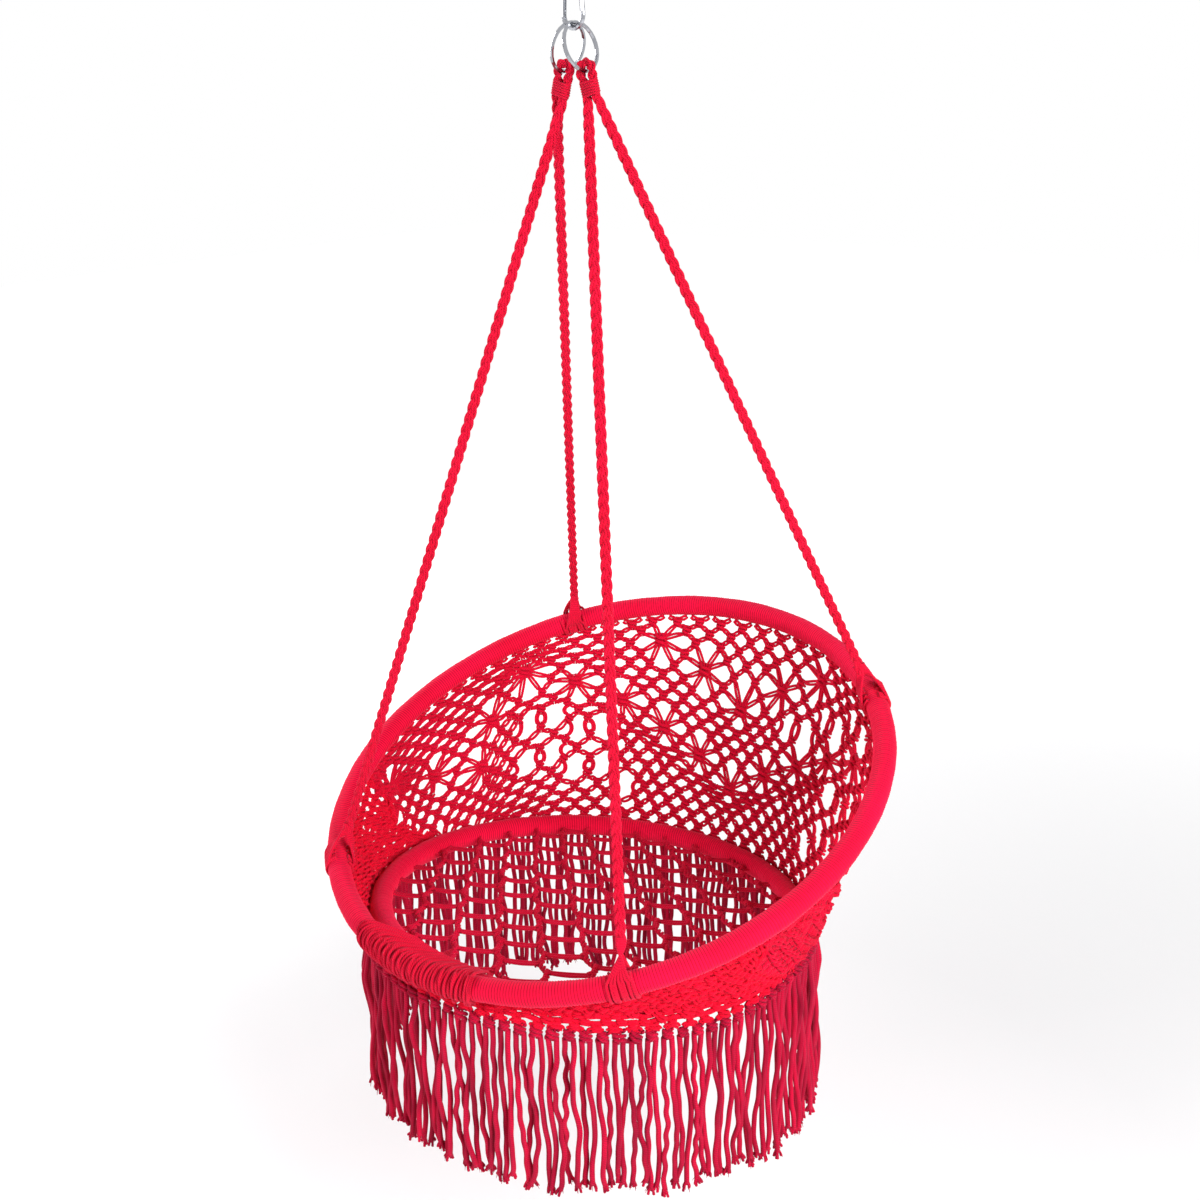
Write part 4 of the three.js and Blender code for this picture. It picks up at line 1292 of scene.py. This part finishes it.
def rope_tie(words, end, direction, broad_way, hoop_angle):
    """The rope's cords part above the hoop, spread along it, and go round it, every other one from inside."""
    skein = Skein()
    rise = -direction
    radius = HOOP_OUTER + BRAID_CORD * 0.8
    angles = np.linspace(-0.1 * np.pi, 1.35 * np.pi, TIE_SAMPLES)
    for k in range(TIE_CORDS):
        share = (k + 0.5) / TIE_CORDS - 0.5
        a = math.radians(hoop_angle) + share * TIE_WIDTH / BACK_RADIUS
        centre, along, out, _ = (v[0] for v in hoop_frame(back_hoop, np.array([a])))
        centre, along, out = placed(centre), rotated(along), rotated(out)
        outward = -1 if k % 2 == 0 else 1
        level = unit(np.cross(rise, along))
        level = level * outward * (-1 if level @ out < 0 else 1)
        upward = unit(rise - along * (rise @ along))
        slide = np.linspace(0, 1, TIE_SAMPLES) * (-TIE_SLIDE * outward + 0.003 * math.sin(5.0 * k))
        ring = [
            centre + level * radius * math.cos(t) - upward * radius * math.sin(t) + along * s
            for t, s in zip(angles, slide)
        ]
        begin = end + rise * 0.001 + broad_way * (share * TIE_SPREAD) + level * 0.0022
        way_in = ring[0] + upward * 0.008 + level * 0.0005 - along * share * TIE_SPREAD
        path = [begin + rise * 0.012, begin, begin * 0.55 + way_in * 0.45 + level * 0.0015, way_in, *ring]
        skein.add(through(np.array(path), 40), BRAID_CORD * 0.85)
    return piece(f"rope_tie_{words}", skein, rope_cotton, f"rope_lashing_{words}")


for side, word in ((1, "left"), (-1, "right")):
    rope_eye(side, word)
    whipping(side, word)
    for place, angle, across in (("front", FRONT_ROPE_ANGLE, -1), ("rear", REAR_ROPE_ANGLE, 1)):
        rope(side, word, place, side * angle, side * across)


# Steel pieces keep their CAD shapes and get their finish

for material, nodes in (
    (plated_steel, ("snap_hook_body", "snap_hook_gate", "gate_pin", "ring_left", "ring_right")),
    (spring_steel, ("gate_spring",)),
    (tube_steel, ("seat_hoop_tube", "seat_hoop_spigot", "back_hoop_tube", "back_hoop_spigot")),
):
    for node in nodes:
        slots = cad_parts[node].data.materials
        slots.clear()
        slots.append(material)


# Floor, lamps and background. The floor glows for the camera, less under the chair, so that its shadow stays.

FLOOR_HALF = 12.0
FLOOR_LEVEL = -1.86
GLOW_FROM, GLOW_TO = 2.1, 4.0
GLOW_NEAR, GLOW_FAR = 0.09, 0.82
LIGHT_ROUND = 0.20
LAMP_TARGET = Vector((0.0, 0.0, -1.0))


def stage_material():
    tree = Shading(bpy.data.materials.new("pale_floor"))
    material = tree.finish({"Base Color": (0.86, 0.86, 0.87), "Roughness": 0.9, "Specular IOR Level": 0.1})
    span = tree.add("VectorMath", Vector=tree.place())
    span.operation = "LENGTH"
    fade = tree.add(
        "MapRange", Value=span.outputs["Value"], From_Min=GLOW_FROM, From_Max=GLOW_TO,
        To_Min=GLOW_NEAR, To_Max=GLOW_FAR,
    )
    glow = tree.add("Emission", Strength=tree.math("MULTIPLY", tree.seen(), fade.outputs[0]))
    both = tree.add("AddShader")
    tree.feed(both.inputs[0], tree.nodes["Principled BSDF"].outputs[0])
    tree.feed(both.inputs[1], glow.outputs[0])
    tree.feed(tree.nodes["Material Output"].inputs["Surface"], both.outputs[0])
    return material


def make_stage():
    mesh = bpy.data.meshes.new("floor")
    corners = [(x * FLOOR_HALF, y * FLOOR_HALF, FLOOR_LEVEL) for x, y in ((-1, -1), (1, -1), (1, 1), (-1, 1))]
    mesh.from_pydata(corners, [], [(0, 1, 2, 3)])
    mesh.materials.append(stage_material())
    floor = shown("floor", mesh)


def lamp(name, location, size, energy):
    data = bpy.data.lights.new(name, "AREA")
    data.shape = "DISK"
    data.size = size
    data.energy = energy
    made = shown(name, data)
    made.location = location
    made.rotation_euler = (LAMP_TARGET - Vector(location)).to_track_quat("-Z", "Y").to_euler()


def make_world():
    """White for the camera, and a weak even light on the chair."""
    world = bpy.data.worlds.new("world")
    bpy.context.scene.world = world
    tree = Shading(world)
    background = tree.nodes["Background"].inputs
    tree.feed(background["Color"], WHITE)
    strength = tree.math("MULTIPLY", tree.seen(), 1.0 - LIGHT_ROUND)
    tree.feed(background["Strength"], tree.math("ADD", strength, LIGHT_ROUND))


make_stage()
lamp("key", (2.8, -0.7, 0.1), 1.8, 120)
lamp("fill", (-1.2, -3.1, 0.0), 2.0, 56)
lamp("rim", (-3.0, 0.4, 0.4), 1.6, 85)
make_world()
bpy.context.scene.view_settings.view_transform = "Standard"
